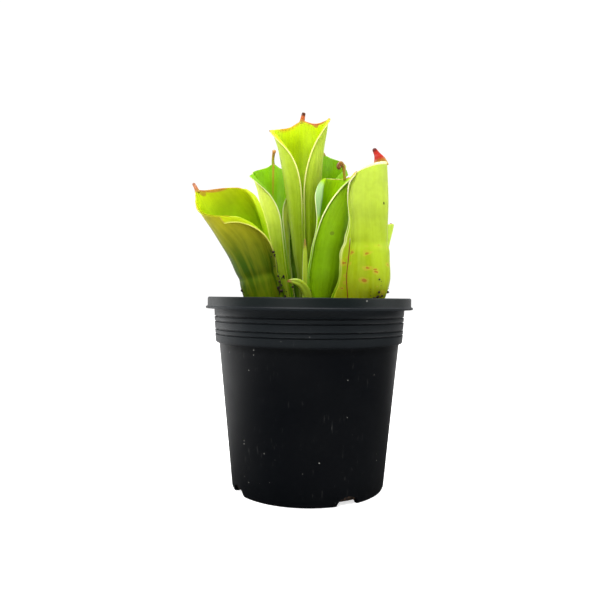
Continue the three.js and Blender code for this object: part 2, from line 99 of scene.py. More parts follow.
def along(values: Sequence[float], share: float) -> float:
    """Reads a smooth value from a list of evenly spaced ones.

    Args:
        values: The values, from the start to the end.
        share: How far along the list, from 0 to 1.

    Returns:
        The value of the Catmull-Rom curve through the list.
    """
    last = len(values) - 1
    place = min(max(share, 0.0), 1.0) * last
    i = min(int(place), last - 1)
    f = place - i
    p0, p1, p2, p3 = values[max(i - 1, 0)], values[i], values[i + 1], values[min(i + 2, last)]
    v1, v2 = (p2 - p0) / 2, (p3 - p1) / 2
    return (2 * p1 - 2 * p2 + v1 + v2) * f**3 + (3 * p2 - 3 * p1 - 2 * v1 - v2) * f**2 + v1 * f + p1


def ease(value: float, low: float, high: float) -> float:
    """Rises smoothly from 0 at low to 1 at high."""
    share = min(max((value - low) / (high - low), 0.0), 1.0)
    return share * share * (3 - 2 * share)


def bell(value: float, width: float) -> float:
    """Falls smoothly from 1 at zero, to about a third at the given width."""
    return math.exp(-((value / width) ** 2))


def mix(low: float, high: float, share: float) -> float:
    """Goes straight from low to high."""
    return low + (high - low) * share


def uneven(place: Vector, size: float, amount: float) -> float:
    """Reads a fixed noise field.

    Args:
        place: Where, in millimetres.
        size: The size of the lumps, in millimetres.
        amount: The most that it gives.

    Returns:
        A number between -amount and amount.
    """
    return noise.noise(place / size) * amount


# ---------------------------------------------------------------- meshes


def shaped_grid(across: int, length: int, place: Place) -> bmesh.types.BMesh:
    """Makes a grid and moves each of its points.

    Args:
        across: Faces across the grid.
        length: Faces along it.
        place: Gives the point, in millimetres, for the shares across and along, both 0 to 1.

    Returns:
        The mesh, in metres, with a UV map that holds the two shares.
    """
    sheet = bmesh.new()
    sheet.loops.layers.uv.new("UVMap")
    bmesh.ops.create_grid(sheet, x_segments=across, y_segments=length, size=1.0, calc_uvs=True)
    for vertex in sheet.verts:
        vertex.co = place((vertex.co.x + 1) / 2, (vertex.co.y + 1) / 2) * MM
    return sheet


def closed_tube(around: int, length: int, place: Place) -> bmesh.types.BMesh:
    """Makes a tube of a shaped grid, with its two long sides joined and its ends closed.

    Args:
        around: Faces round the tube.
        length: Faces along it.
        place: Gives the point, in millimetres, for the shares round and along, both 0 to 1.

    Returns:
        The mesh, in metres, with a UV map that holds the two shares.
    """
    tube = shaped_grid(around, length, place)
    bmesh.ops.remove_doubles(tube, verts=tube.verts, dist=MERGE)
    bmesh.ops.recalc_face_normals(tube, faces=tube.faces)
    bmesh.ops.holes_fill(tube, edges=[edge for edge in tube.edges if edge.is_boundary], sides=0)
    bmesh.ops.recalc_face_normals(tube, faces=tube.faces)
    return tube


def cubic(knots: Sequence[Vector], share: float) -> Vector:
    """Finds a point of a cubic curve.

    Args:
        knots: Its four control points.
        share: How far along it, from 0 to 1.

    Returns:
        The point.
    """
    a, b, c, d = knots
    s = 1 - share
    return a * s**3 + b * 3 * s * s * share + c * 3 * s * share * share + d * share**3


def cubic_direction(knots: Sequence[Vector], share: float) -> Vector:
    """Finds the direction of a cubic curve.

    Args:
        knots: Its four control points.
        share: How far along it, from 0 to 1.

    Returns:
        The direction, of length 1.
    """
    a, b, c, d = knots
    s = 1 - share
    return ((b - a) * s * s + (c - b) * 2 * s * share + (d - c) * share * share).normalized()


def grown(node: str, spine: Sequence[Triple], sink: float) -> tuple[float, list[Vector]]:
    """Stands a leaf's spine on the level of its CAD node.

    Args:
        node: The CAD node.
        spine: Four control points, in millimetres, with heights from the leaf's cut base.
        sink: How far below the cut base the curve starts.

    Returns:
        The level of the cut base, and the four points in the part's own frame.
    """
    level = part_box(node)[0].z / MM
    knots = [Vector(point) + Vector((0, 0, level)) for point in spine]
    knots[0].z -= sink
    return level, knots


def add_into(sheet: bmesh.types.BMesh, other: bmesh.types.BMesh) -> None:
    """Puts another mesh's faces into the first.

    Args:
        sheet: The mesh that is added to.
        other: The mesh that is added, which is freed.
    """
    carrier = bpy.data.meshes.new("carrier")
    other.to_mesh(carrier)
    other.free()
    sheet.from_mesh(carrier)
    bpy.data.meshes.remove(carrier)


def turned(outline: Sequence[Pair], steps: int) -> bmesh.types.BMesh:
    """Spins an outline a full turn round the Z axis.

    Args:
        outline: Radius and height of each point, in millimetres.
        steps: Faces round the turn.

    Returns:
        The closed mesh, in metres.
    """
    body = bmesh.new()
    points = [body.verts.new((radius * MM, 0, height * MM)) for radius, height in outline]
    edges = [body.edges.new(pair) for pair in zip(points, points[1:])]
    bmesh.ops.spin(
        body,
        geom=points + edges,
        axis=(0, 0, 1),
        cent=(0, 0, 0),
        angle=math.tau,
        steps=steps,
        use_merge=True,
    )
    bmesh.ops.remove_doubles(body, verts=body.verts, dist=MERGE)
    bmesh.ops.recalc_face_normals(body, faces=body.faces)
    return body


def lump(size: Triple, centre: Vector, turn: float, seed: float, detail: int) -> bmesh.types.BMesh:
    """Makes one uneven crumb.

    Args:
        size: Its half sizes, in millimetres.
        centre: Its middle, in millimetres.
        turn: How far it is turned, in radians.
        seed: Picks its shape.
        detail: How finely it is divided.

    Returns:
        The mesh, in metres.
    """
    body = bmesh.new()
    bmesh.ops.create_icosphere(body, subdivisions=detail, radius=1)
    for vertex in body.verts:
        bulge = 1 + 0.34 * noise.noise(vertex.co * 1.5 + Vector((seed, 3.1 * seed, 0)))
        chipped = min(1.0, 0.86 + 0.3 * noise.noise(vertex.co * 4 + Vector((0, 0, seed))))
        vertex.co = vertex.co * bulge * chipped
    bmesh.ops.scale(body, verts=body.verts, vec=[part * MM for part in size])
    bmesh.ops.rotate(body, verts=body.verts, matrix=Matrix.Rotation(turn, 3, "Z"))
    bmesh.ops.rotate(body, verts=body.verts, matrix=Matrix.Rotation(0.5 * math.sin(seed), 3, "X"))
    bmesh.ops.translate(body, verts=body.verts, vec=centre * MM)
    return body


def finished(
    name: str,
    body: bmesh.types.BMesh,
    materials: Sequence[bpy.types.Material],
) -> bpy.types.Object:
    """Makes an object of a mesh, dresses it and lets it ride on the plant.

    Args:
        name: The piece's name.
        body: The mesh, which is freed.
        materials: Its materials, by index.

    Returns:
        The object, at the origin.
    """
    for face in body.faces:
        face.smooth = True
    mesh = bpy.data.meshes.new(name)
    body.to_mesh(mesh)
    body.free()
    piece = bpy.data.objects.new(name, mesh)
    bpy.context.scene.collection.objects.link(piece)
    for material in materials:
        mesh.materials.append(material)
    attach(piece, BODY)
    return piece


def subdivide(piece: bpy.types.Object, levels: int = 1) -> None:
    """Adds a Subdivision Surface modifier that looks the same in view and render.

    Args:
        piece: The piece to smooth.
        levels: How many times each face is divided.
    """
    smoother = piece.modifiers.new("smoother", "SUBSURF")
    smoother.levels = levels
    smoother.render_levels = levels


def dress(node: str, material: bpy.types.Material) -> None:
    """Gives a CAD node a material.

    Args:
        node: The node's name.
        material: Its only material.
    """
    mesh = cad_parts[node].data
    mesh.materials.clear()
    mesh.materials.append(material)


# ---------------------------------------------------------------- shader nodes


class Graph:
    """Short ways to add nodes to one shader tree."""

    def __init__(self, tree: bpy.types.NodeTree) -> None:
        """Works on the given tree."""
        self.tree = tree

    def add(self, kind: str, inputs: dict | None = None, **settings: object) -> bpy.types.Node:
        """Adds a node.

        Args:
            kind: The node's type, without the ShaderNode in front.
            inputs: A value or an output socket for inputs, by name or number.
            settings: The node's own properties.

        Returns:
            The node.
        """
        node = self.tree.nodes.new("ShaderNode" + kind)
        for key, value in settings.items():
            setattr(node, key, value)
        for key, value in (inputs or {}).items():
            self.feed(node.inputs[key], value)
        return node

    def feed(self, socket: Socket, value: object) -> None:
        """Fills an input.

        Args:
            socket: The input.
            value: An output socket, which is linked to it, or a plain value, which is set on it.
        """
        if isinstance(value, Socket):
            self.tree.links.new(value, socket)
        else:
            socket.default_value = value

    def maths(self, operation: str, *values: Value) -> Socket:
        """Adds a Math node and returns its output."""
        node = self.add("Math", dict(enumerate(values)), operation=operation)
        return node.outputs[0]

    def band(self, value: Value, low: float, high: float) -> Socket:
        """Turns a value into a smooth step.

        Args:
            value: The value.
            low: Where the step is 0.
            high: Where it is 1, which may be below low.

        Returns:
            The step, from 0 to 1.
        """
        inputs = {"Value": value, "From Min": low, "From Max": high}
        node = self.add("MapRange", inputs, interpolation_type="SMOOTHSTEP")
        return node.outputs["Result"]

    def blend(self, share: Value, first: Colour, second: Colour, kind: str = "MIX") -> Socket:
        """Mixes two colours.

        Args:
            share: How much of the second, from 0 to 1.
            first: The colour to start from.
            second: The colour to blend in.
            kind: The Mix node's blend type.

        Returns:
            The mixed colour.
        """
        node = self.add("Mix", {"Factor": share}, data_type="RGBA", blend_type=kind)
        for number, colour in ((6, first), (7, second)):
            self.feed(node.inputs[number], colour if isinstance(colour, Socket) else (*colour, 1))
        return node.outputs[2]

    def place(self, group: bpy.types.NodeTree, **inputs: object) -> Socket:
        """Places a shared node group.

        Args:
            group: The group.
            inputs: Its inputs' values, by name, with _ for a space.

        Returns:
            The group's first output.
        """
        node = self.add("Group", node_tree=group)
        for key, value in inputs.items():
            self.feed(node.inputs[key.replace("_", " ")], value)
        return node.outputs[0]

    def bump(self, height: Value, strength: float, distance: float) -> Socket:
        """Adds a Bump node.

        Args:
            height: The height, from 0 to 1.
            strength: How strong the relief is.
            distance: How high it is, in metres.

        Returns:
            The bent normal.
        """
        return self.add("Bump", {"Height": height, "Strength": strength, "Distance": distance}).outputs[0]

    def skin_place(self) -> "SkinPlace":
        """Reads where a point of a leaf is.

        Returns:
            Its shares, from the UV map, and its place in the piece.
        """
        shares = self.add("SeparateXYZ", {"Vector": self.add("UVMap", uv_map="UVMap").outputs[0]})
        where = self.add("TexCoord").outputs["Object"]
        return SkinPlace(shares.outputs["X"], shares.outputs["Y"], where)


@dataclass(frozen=True)
class SkinPlace:
    """Where a point of a leaf is: its shares across and along, and its place in the piece."""

    across: Socket
    along: Socket
    where: Socket


class Effects:
    """The shader node groups that several finishes share, each built once."""

    def __init__(self) -> None:
        """Builds every group."""
        self.speckle = self._speckle()
        self.mottle = self._mottle()
        self.veins = self._veins()
        self.mark = self._mark()
        self.grain = self._grain()

    @staticmethod
    def _start(
        name: str, inputs: dict[str, tuple[str, object]], outputs: Sequence[str]
    ) -> tuple[bpy.types.NodeTree, Graph, bpy.types.Node, bpy.types.Node]:
        """Makes an empty group.

        Args:
            name: The group's name.
            inputs: The kind and the default value of each input.
            outputs: The names of its outputs, all values.

        Returns:
            The group, its graph, and its input and output nodes.
        """
        tree = bpy.data.node_groups.new(name, "ShaderNodeTree")
        for key, (kind, default) in inputs.items():
            socket = tree.interface.new_socket(key, in_out="INPUT", socket_type="NodeSocket" + kind)
            if default is not None:
                socket.default_value = default
        for key in outputs:
            tree.interface.new_socket(key, in_out="OUTPUT", socket_type="NodeSocketFloat")
        return tree, Graph(tree), tree.nodes.new("NodeGroupInput"), tree.nodes.new("NodeGroupOutput")

    def _speckle(self) -> bpy.types.NodeTree:
        """Small round specks, scattered at random; Share is how many of the cells hold one.

        Returns:
            The group.
        """
        inputs = {"Vector": ("Vector", None), "Scale": ("Float", 300)}
        inputs |= {"Size": ("Float", 0.2), "Share": ("Float", 0.2)}
        tree, g, given, made = self._start("speckle", inputs, ["Mask"])
        cells = g.add("TexVoronoi", {"Vector": given.outputs["Vector"], "Scale": given.outputs["Scale"]})
        parts = g.add("SeparateColor", {"Color": cells.outputs["Color"]})
        size = g.maths("MULTIPLY", given.outputs["Size"], parts.outputs["Green"])
        near = g.maths("LESS_THAN", cells.outputs["Distance"], size)
        picked = g.maths("LESS_THAN", parts.outputs["Red"], given.outputs["Share"])
        g.feed(made.inputs["Mask"], g.maths("MULTIPLY", near, picked))
        return tree

    def _mottle(self) -> bpy.types.NodeTree:
        """Soft cloudy patches from 0 to 1, about a half on average.

        Returns:
            The group.
        """
        inputs = {"Vector": ("Vector", None), "Scale": ("Float", 60), "Contrast": ("Float", 2)}
        tree, g, given, made = self._start("mottle", inputs, ["Mask"])
        noise_inputs = {"Vector": given.outputs["Vector"], "Scale": given.outputs["Scale"], "Detail": 4}
        clouds = g.add("TexNoise", noise_inputs)
        centred = g.maths("SUBTRACT", clouds.outputs["Fac"], 0.5)
        raised = g.maths("MULTIPLY_ADD", centred, given.outputs["Contrast"], 0.5)
        clamped = g.add("Clamp", {"Value": raised})
        g.feed(made.inputs["Mask"], clamped.outputs[0])
        return tree

    def _veins(self) -> bpy.types.NodeTree:
        """Fine lines along a leaf, from its shares across and along.

        Returns:
            The group.
        """
        inputs = {"Across": ("Float", 0), "Along": ("Float", 0), "Count": ("Float", 40)}
        tree, g, given, made = self._start("veins", inputs, ["Lines"])
        x = g.maths("MULTIPLY", given.outputs["Across"], given.outputs["Count"])
        y = g.maths("MULTIPLY", given.outputs["Along"], 3)
        flat = g.add("CombineXYZ", {"X": x, "Y": y})
        lines = g.add("TexNoise", {"Vector": flat.outputs[0], "Scale": 1, "Detail": 2, "Distortion": 0.3})
        g.feed(made.inputs["Lines"], g.band(lines.outputs["Fac"], 0.35, 0.65))
        return tree

    def _mark(self) -> bpy.types.NodeTree:
        """One soft oval mark at a given place on a leaf.

        Returns:
            The group.
        """
        inputs = {key: ("Float", 0) for key in ("Across", "Along", "At Across", "At Along")}
        inputs |= {"Half Width": ("Float", 0.02), "Half Length": ("Float", 0.02)}
        tree, g, given, made = self._start("mark", inputs, ["Mask"])
        squares = []
        for key, half in (("Across", "Half Width"), ("Along", "Half Length")):
            off = g.maths("SUBTRACT", given.outputs[key], given.outputs["At " + key])
            share = g.maths("DIVIDE", off, given.outputs[half])
            squares.append(g.maths("MULTIPLY", share, share))
        far = g.maths("ADD", *squares)
        g.feed(made.inputs["Mask"], g.band(far, 1.1, 0.5))
        return tree

    def _grain(self) -> bpy.types.NodeTree:
        """The fine unevenness of a skin, as a height from 0 to 1.

        Returns:
            The group.
        """
        inputs = {"Vector": ("Vector", None), "Scale": ("Float", 2500), "Roughness": ("Float", 0.6)}
        tree, g, given, made = self._start("grain", inputs, ["Height"])
        noise_inputs = {key: given.outputs[key] for key in ("Vector", "Scale", "Roughness")}
        fine = g.add("TexNoise", noise_inputs | {"Detail": 3})
        g.feed(made.inputs["Height"], fine.outputs["Fac"])
        return tree


class Finish:
    """What every finish does: starts a material with one Principled shader."""

    @staticmethod
    def start(name: str, **uniform: object) -> tuple[bpy.types.Material, Graph, bpy.types.Node]:
        """Starts a material.

        Args:
            name: The material's name.
            uniform: Values that are the same all over, by the shader's input, with _ for a space.

        Returns:
            The material, its graph and its shader.
        """
        material = bpy.data.materials.new(name)
        material.use_nodes = True
        shader = material.node_tree.nodes["Principled BSDF"]
        for key, value in uniform.items():
            shader.inputs[key.replace("_", " ")].default_value = value
        return material, Graph(material.node_tree), shader


@dataclass(frozen=True)
class Mark:
    """One mark on a leaf: where it is, how large, and which skin it is on."""

    skin: Skin
    across: float
    along: float
    half_width: float
    half_length: float
    colour: Triple
    strength: float = 1.0

    def mask(self, g: Graph, at: SkinPlace, effects: Effects) -> Socket:
        """Works out where the mark shows.

        Args:
            g: The material's graph.
            at: Where the point is.
            effects: The shared groups.

        Returns:
            The mask, from 0 to 1.
        """
        return g.place(
            effects.mark,
            Across=at.across,
            Along=at.along,
            At_Across=self.across,
            At_Along=self.along,
            Half_Width=self.half_width,
            Half_Length=self.half_length,
        )


@dataclass(frozen=True)
class LeafFinish(Finish):
    """The living tissue of a leaf, outside, inside and along its rim.

    outer and inner hold a low, a middle and a high colour, and blush_from and inner_blush_from say
    where along the leaf the blush begins.
    """

    outer: tuple[Triple, Triple, Triple]
    inner: tuple[Triple, Triple, Triple]
    rim: Triple = (0.86, 0.82, 0.3)
    blush: Triple = (0.42, 0.12, 0.03)
    blush_from: float = 0.985
    inner_blush_from: float = 0.96
    midrib: float = 0.0
    lip: float = 0.0
    spots: float = 0.0
    marks: tuple[Mark, ...] = ()

    soil: Triple = (0.03, 0.02, 0.01)
    soil_line: float = 0.1
    spot_tint: Triple = (0.55, 0.34, 0.04)
    spot_core: Triple = (0.35, 0.1, 0.015)
    spot_scale: float = 270
    roughness: float = 0.32
    roughness_spread: float = 0.16
    relief: float = 0.00018

    def make(self, name: str, skin: Skin, effects: Effects) -> bpy.types.Material:
        """Makes the material of one skin.

        Args:
            name: The leaf's name.
            skin: Which of its surfaces.
            effects: The shared groups.

        Returns:
            The material.
        """
        material, g, shader = self.start(
            f"{name}_{skin.name.lower()}",
            Subsurface_Weight=0.25,
            Subsurface_Scale=0.0012,
            Subsurface_Radius=(0.9, 1.0, 0.2),
            IOR=1.4,
            Specular_IOR_Level=0.1,
        )
        at = g.skin_place()
        if skin is Skin.RIM:
            colour = self._rim_colour(g, at, effects)
        else:
            colour = self._blade_colour(g, at, effects, skin)
        for mark in self.marks:
            if mark.skin is skin:
                mask = mark.mask(g, at, effects)
                colour = g.blend(g.maths("MULTIPLY", mask, mark.strength), colour, mark.colour)
        g.feed(shader.inputs["Base Color"], colour)
        lines = g.place(effects.veins, Across=at.across, Along=at.along, Count=44)
        fine = g.place(effects.grain, Vector=at.where, Scale=1400)
        gloss = g.place(effects.mottle, Vector=at.where, Scale=120)
        rough = g.maths("MULTIPLY_ADD", gloss, self.roughness_spread, self.roughness)
        g.feed(shader.inputs["Roughness"], rough)
        height = g.maths("MULTIPLY_ADD", fine, 0.5, lines)
        g.feed(shader.inputs["Normal"], g.bump(height, 0.35, self.relief))
        return material

    def _rim_colour(self, g: Graph, at: SkinPlace, effects: Effects) -> Socket:
        """Works out the rim's colour: olive at the base, then pale, and flushed along the top.

        Args:
            g: The material's graph.
            at: Where the point is.
            effects: The shared groups.

        Returns:
            The colour.
        """
        olive = tuple(0.75 * part for part in self.outer[1])
        pale = g.blend(g.band(at.along, 0.4, 0.85), olive, self.rim)
        patches = g.place(effects.mottle, Vector=at.where, Scale=170, Contrast=3)
        top = g.maths("MULTIPLY", g.band(at.along, self.blush_from, 0.999), patches)
        return g.blend(top, pale, self.blush)

    def _blade_colour(self, g: Graph, at: SkinPlace, effects: Effects, skin: Skin) -> Socket:
        """Works out a blade's colour, with all that the leaf has on that skin.

        Args:
            g: The material's graph.
            at: Where the point is.
            effects: The shared groups.
            skin: The outer or the inner skin.

        Returns:
            The colour.
        """
        outside = skin is Skin.OUTER
        colour = self._greens(g, at, effects, outside)
        middle = g.maths("ABSOLUTE", g.maths("SUBTRACT", at.across, 0.5))
        up = g.maths("MULTIPLY", g.band(at.along, 0.2, 0.7), 0.55)
        colour = g.blend(g.maths("MULTIPLY", g.band(middle, 0.478, 0.5), up), colour, self.rim)
        if self.lip and outside:
            top = g.maths("MULTIPLY", g.band(at.along, 0.976, 0.986), self.lip)
            colour = g.blend(top, colour, self.rim)
        patches = g.place(effects.mottle, Vector=at.where, Scale=95, Contrast=3.2)
        begin = self.blush_from if outside else self.inner_blush_from
        flush = g.maths("MULTIPLY", g.band(at.along, begin, 1.0), patches)
        colour = g.blend(g.maths("MULTIPLY", flush, 0.85), colour, self.blush)
        if self.midrib and not outside:
            rib = g.maths("MULTIPLY", g.band(middle, 0.014, 0.004), g.band(at.along, 0.72, 0.97))
            colour = g.blend(g.maths("MULTIPLY", rib, self.midrib), colour, self.blush)
        if self.spots and outside:
            colour = self._spotted(g, colour, at, effects)
        if outside:
            dirt = g.place(effects.speckle, Vector=at.where, Scale=420, Size=0.5, Share=0.5)
            low = g.band(at.along, self.soil_line, 0.0)
            colour = g.blend(g.maths("MULTIPLY", dirt, low), colour, self.soil)
        return colour

    def _greens(self, g: Graph, at: SkinPlace, effects: Effects, outside: bool) -> Socket:
        """Works out the greens along a blade, mottled and veined.

        Args:
            g: The material's graph.
            at: Where the point is.
            effects: The shared groups.
            outside: Whether it is the outer skin; the inner one turns to its high colour later.

        Returns:
            The colour.
        """
        low, middle, high = self.outer if outside else self.inner
        late = 0.0 if outside else 0.2
        colour = g.blend(g.band(at.along, 0.05, 0.5), low, middle)
        colour = g.blend(g.band(at.along, 0.45 + late, 0.95 + late / 2), colour, high)
        clouds = g.place(effects.mottle, Vector=at.where, Scale=75, Contrast=2.4)
        fine = g.place(effects.mottle, Vector=at.where, Scale=420, Contrast=2)
        shade = g.maths("MULTIPLY_ADD", clouds, 0.26, g.maths("MULTIPLY_ADD", fine, 0.14, 0.8))
        grey = g.add("CombineColor", {0: shade, 1: shade, 2: shade}).outputs[0]
        colour = g.blend(1.0, colour, grey, "MULTIPLY")
        lines = g.place(effects.veins, Across=at.across, Along=at.along, Count=30)
        lighter = tuple(min(1.0, part * 1.25 + 0.01) for part in high)
        return g.blend(g.maths("MULTIPLY", lines, 0.16), colour, lighter)

    def _spotted(self, g: Graph, colour: Socket, at: SkinPlace, effects: Effects) -> Socket:
        """Adds ragged red-brown spots over the lower half.

        Args:
            g: The material's graph.
            colour: The colour under them.
            at: Where the point is.
            effects: The shared groups.

        Returns:
            The spotted colour.
        """
        bent = g.add("TexNoise", {"Vector": at.where, "Scale": 500, "Detail": 2})
        reach = {0: bent.outputs["Color"], 1: (0.0016, 0.0016, 0.0016)}
        off = g.add("VectorMath", reach, operation="MULTIPLY").outputs[0]
        moved = g.add("VectorMath", {0: at.where, 1: off}, operation="ADD").outputs[0]
        low = g.maths("MULTIPLY", g.band(at.along, 0.6, 0.48), g.band(at.along, 0.02, 0.09))
        drawn = g.add("Mapping", {"Vector": moved, "Scale": (0.75, 1, 1.5)}).outputs[0]
        for size, strength, tone in ((0.7, 0.35, self.spot_tint), (0.34, 0.8, self.spot_core)):
            spot = g.place(effects.speckle, Vector=drawn, Scale=self.spot_scale, Size=size, Share=0.5)
            share = g.maths("MULTIPLY", g.maths("MULTIPLY", spot, low), strength * self.spots)
            colour = g.blend(share, colour, tone)
        return colour


@dataclass(frozen=True)
class SpoonFinish(Finish):
    """The nectar spoon, from where it leaves the leaf to its tip, which darkens at dark_from."""

    foot: Triple
    middle: Triple
    tip: Triple
    dark_from: float = 0.72

    def make(self, name: str, effects: Effects) -> bpy.types.Material:
        """Makes the material.

        Args:
            name: The spoon's name.
            effects: The shared groups.

        Returns:
            The material.
        """
        material, g, shader = self.start(name, IOR=1.45, Subsurface_Weight=0.15, Subsurface_Scale=0.0008)
        at = g.skin_place()
        colour = g.blend(g.band(at.along, 0.12, 0.5), self.foot, self.middle)
        colour = g.blend(g.band(at.along, self.dark_from, self.dark_from + 0.16), colour, self.tip)
        clouds = g.place(effects.mottle, Vector=at.where, Scale=600)
        colour = g.blend(g.maths("MULTIPLY", clouds, 0.3), colour, self.middle)
        g.feed(shader.inputs["Base Color"], colour)
        g.feed(shader.inputs["Roughness"], g.maths("MULTIPLY_ADD", clouds, 0.2, 0.25))
        g.feed(shader.inputs["Normal"], g.bump(clouds, 0.4, 0.0002))
        return material


@dataclass(frozen=True)
class PotPlastic(Finish):
    """Near-black moulded plastic, satin, with hand scuffs, fine scratches and dust.

    The collar and the lip are a lighter grey than the body and the band; on the lip this lighter grey is a
    painted highlight. The two heights say where they begin and end, in metres.
    """

    body: Triple = (0.0006, 0.0013, 0.0027)
    # lighter grey of the collar, which on the lip is a painted highlight
    collar: Triple = (0.006, 0.0085, 0.0105)
    band: Triple = (0.002, 0.005, 0.005)
    collar_foot: float = 0.0697
    band_foot: float = 0.0872
    dust: Triple = (0.42, 0.42, 0.38)
    scratch_scale: float = 1500
    scratch_stretch: float = 0.045
    speck_scale: float = 420
    roughness: float = 0.4
    relief: float = 0.0001

    def make(self, effects: Effects) -> bpy.types.Material:
        """Makes the material.

        Args:
            effects: The shared groups.

        Returns:
            The material.
        """
        material, g, shader = self.start("pot_plastic", IOR=1.46, Specular_IOR_Level=0.2)
        where = g.add("TexCoord").outputs["Object"]
        scratch = self._scratches(g, where, effects)
        scuffs = g.place(effects.mottle, Vector=where, Scale=28, Contrast=3)
        specks = g.place(effects.speckle, Vector=where, Scale=self.speck_scale, Size=0.16, Share=0.12)
        fewer = g.place(effects.mottle, Vector=where, Scale=33, Contrast=6)
        dots = g.maths("MULTIPLY", specks, fewer)
        height = g.add("SeparateXYZ", {"Vector": where}).outputs["Z"]
        colour = self.body
        # the collar grey reaches up over the lip to band_foot, which paints a highlight on the lip
        for foot, soft, part in ((self.collar_foot, 0.002, self.collar), (self.band_foot, 0.0005, self.band)):
            colour = g.blend(g.band(height, foot - soft, foot + soft), colour, part)
        dusty = g.maths("MULTIPLY_ADD", scuffs, 0.002, g.maths("MULTIPLY", scratch, 0.05))
        colour = g.blend(dusty, colour, self.dust)
        g.feed(shader.inputs["Base Color"], g.blend(g.maths("MULTIPLY", dots, 0.45), colour, self.dust))
        rough = g.maths("MULTIPLY_ADD", scuffs, 0.12, self.roughness)
        g.feed(shader.inputs["Roughness"], g.maths("MULTIPLY_ADD", scratch, 0.2, rough))
        fine = g.place(effects.grain, Vector=where, Scale=3200)
        relief = g.maths("MULTIPLY_ADD", scratch, -0.6, fine)
        g.feed(shader.inputs["Normal"], g.bump(relief, 0.16, self.relief))
        return material

    def _scratches(self, g: Graph, where: Socket, effects: Effects) -> Socket:
        """Draws fine upright scratches, in patches.

        Args:
            g: The material's graph.
            where: The place in the piece.
            effects: The shared groups.

        Returns:
            The mask of the scratches.
        """
        stretch = (1, 1, self.scratch_stretch)
        stretched = g.add("Mapping", {"Vector": where, "Scale": stretch}).outputs[0]
        drawn = {"Vector": stretched, "Scale": self.scratch_scale, "Detail": 2}
        streaks = g.add("TexNoise", drawn).outputs["Fac"]
        patch = g.place(effects.mottle, Vector=where, Scale=42, Contrast=5)
        return g.maths("MULTIPLY", g.band(streaks, 0.66, 0.74), patch)


@dataclass(frozen=True)
class Rough(Finish):
    """A rough natural material, such as peat, perlite or bark, of two mottled colours."""

    name: str
    dark: Triple
    light: Triple
    scale: float
    relief: float = 0.0004
    roughness: float = 0.85
    long_grain: float = 1.0

    def make(self, effects: Effects) -> bpy.types.Material:
        """Makes the material.

        Args:
            effects: The shared groups.

        Returns:
            The material.
        """
        material, g, shader = self.start(self.name, IOR=1.4)
        where = g.add("TexCoord").outputs["Object"]
        drawn = g.add("Mapping", {"Vector": where, "Scale": (1, 1, self.long_grain)}).outputs[0]
        patches = g.place(effects.mottle, Vector=drawn, Scale=self.scale, Contrast=3)
        fine = g.place(effects.grain, Vector=drawn, Scale=self.scale * 4)
        share = g.maths("MULTIPLY", patches, fine)
        g.feed(shader.inputs["Base Color"], g.blend(g.maths("MULTIPLY", share, 1.5), self.dark, self.light))
        g.feed(shader.inputs["Roughness"], g.maths("MULTIPLY_ADD", fine, 0.2, self.roughness - 0.1))
        height = g.maths("ADD", fine, patches)
        g.feed(shader.inputs["Normal"], g.bump(height, 0.8, self.relief))
        return material


# ---------------------------------------------------------------- leaves


@dataclass
class Spoon:
    """A nectar spoon: a curled tongue that stands on the top of a leaf's back.

    path is in millimetres from the leaf's tip; wide and deep are its half sizes along it.
    """

    path: tuple[Triple, ...]
    wide: tuple[float, ...]
    deep: tuple[float, ...]
    finish: SpoonFinish
    front: Triple = (0.2, -1.0, 0.0)
    around: int = 20
    steps: int = 28

    def _spine(self, share: float) -> Vector:
        """Point of the path at a share of its length."""
        return Vector([along([point[axis] for point in self.path], share) for axis in range(3)])

    def build(self, name: str, tip: Vector, effects: Effects, slot: str) -> bpy.types.Object:
        """Makes the spoon.

        Args:
            name: The piece's name.
            tip: The leaf's tip, in millimetres.
            effects: The shared groups.
            slot: The record's material slot; not used.

        Returns:
            The piece.
        """

        def place(x: float, y: float) -> Vector:
            """Finds a point of the tongue.

            Args:
                x: The share round it.
                y: The share along it.

            Returns:
                The point, in millimetres.
            """
            near = 0.02
            up = (self._spine(min(y + near, 1)) - self._spine(max(y - near, 0))).normalized()
            forward = Vector(self.front)
            forward = (forward - up * forward.dot(up)).normalized()
            across = up.cross(forward)
            turn = math.tau * x
            close = math.sqrt(max(0.0, 1 - max(0.0, (y - 0.86) / 0.14) ** 2)) * ease(y, -0.08, 0.03)
            hollow = 0.35 * bell(turn - math.pi * 1.5, 0.8) * ease(y, 0.5, 0.8)
            out_wide = along(self.wide, y) * close
            out_deep = along(self.deep, y) * close * (1 - hollow)
            side = across * out_wide * math.cos(turn) - forward * out_deep * math.sin(turn)
            return tip + self._spine(y) + side

        tube = closed_tube(self.around, self.steps, place)
        return finished(name, tube, [self.finish.make(name, effects)])


@dataclass(frozen=True)
class Row:
    """A leaf's cross-section at one share of its length.

    out points to its open side and across to its right, wide and deep are its half sizes, wrap is half
    the angle that it goes round, in radians, wings how far its two margins stand out, and lift how much
    of the mouth's own shape it takes.
    """

    centre: Vector
    out: Vector
    across: Vector
    wide: float
    deep: float
    wrap: float
    wings: Pair
    lift: float


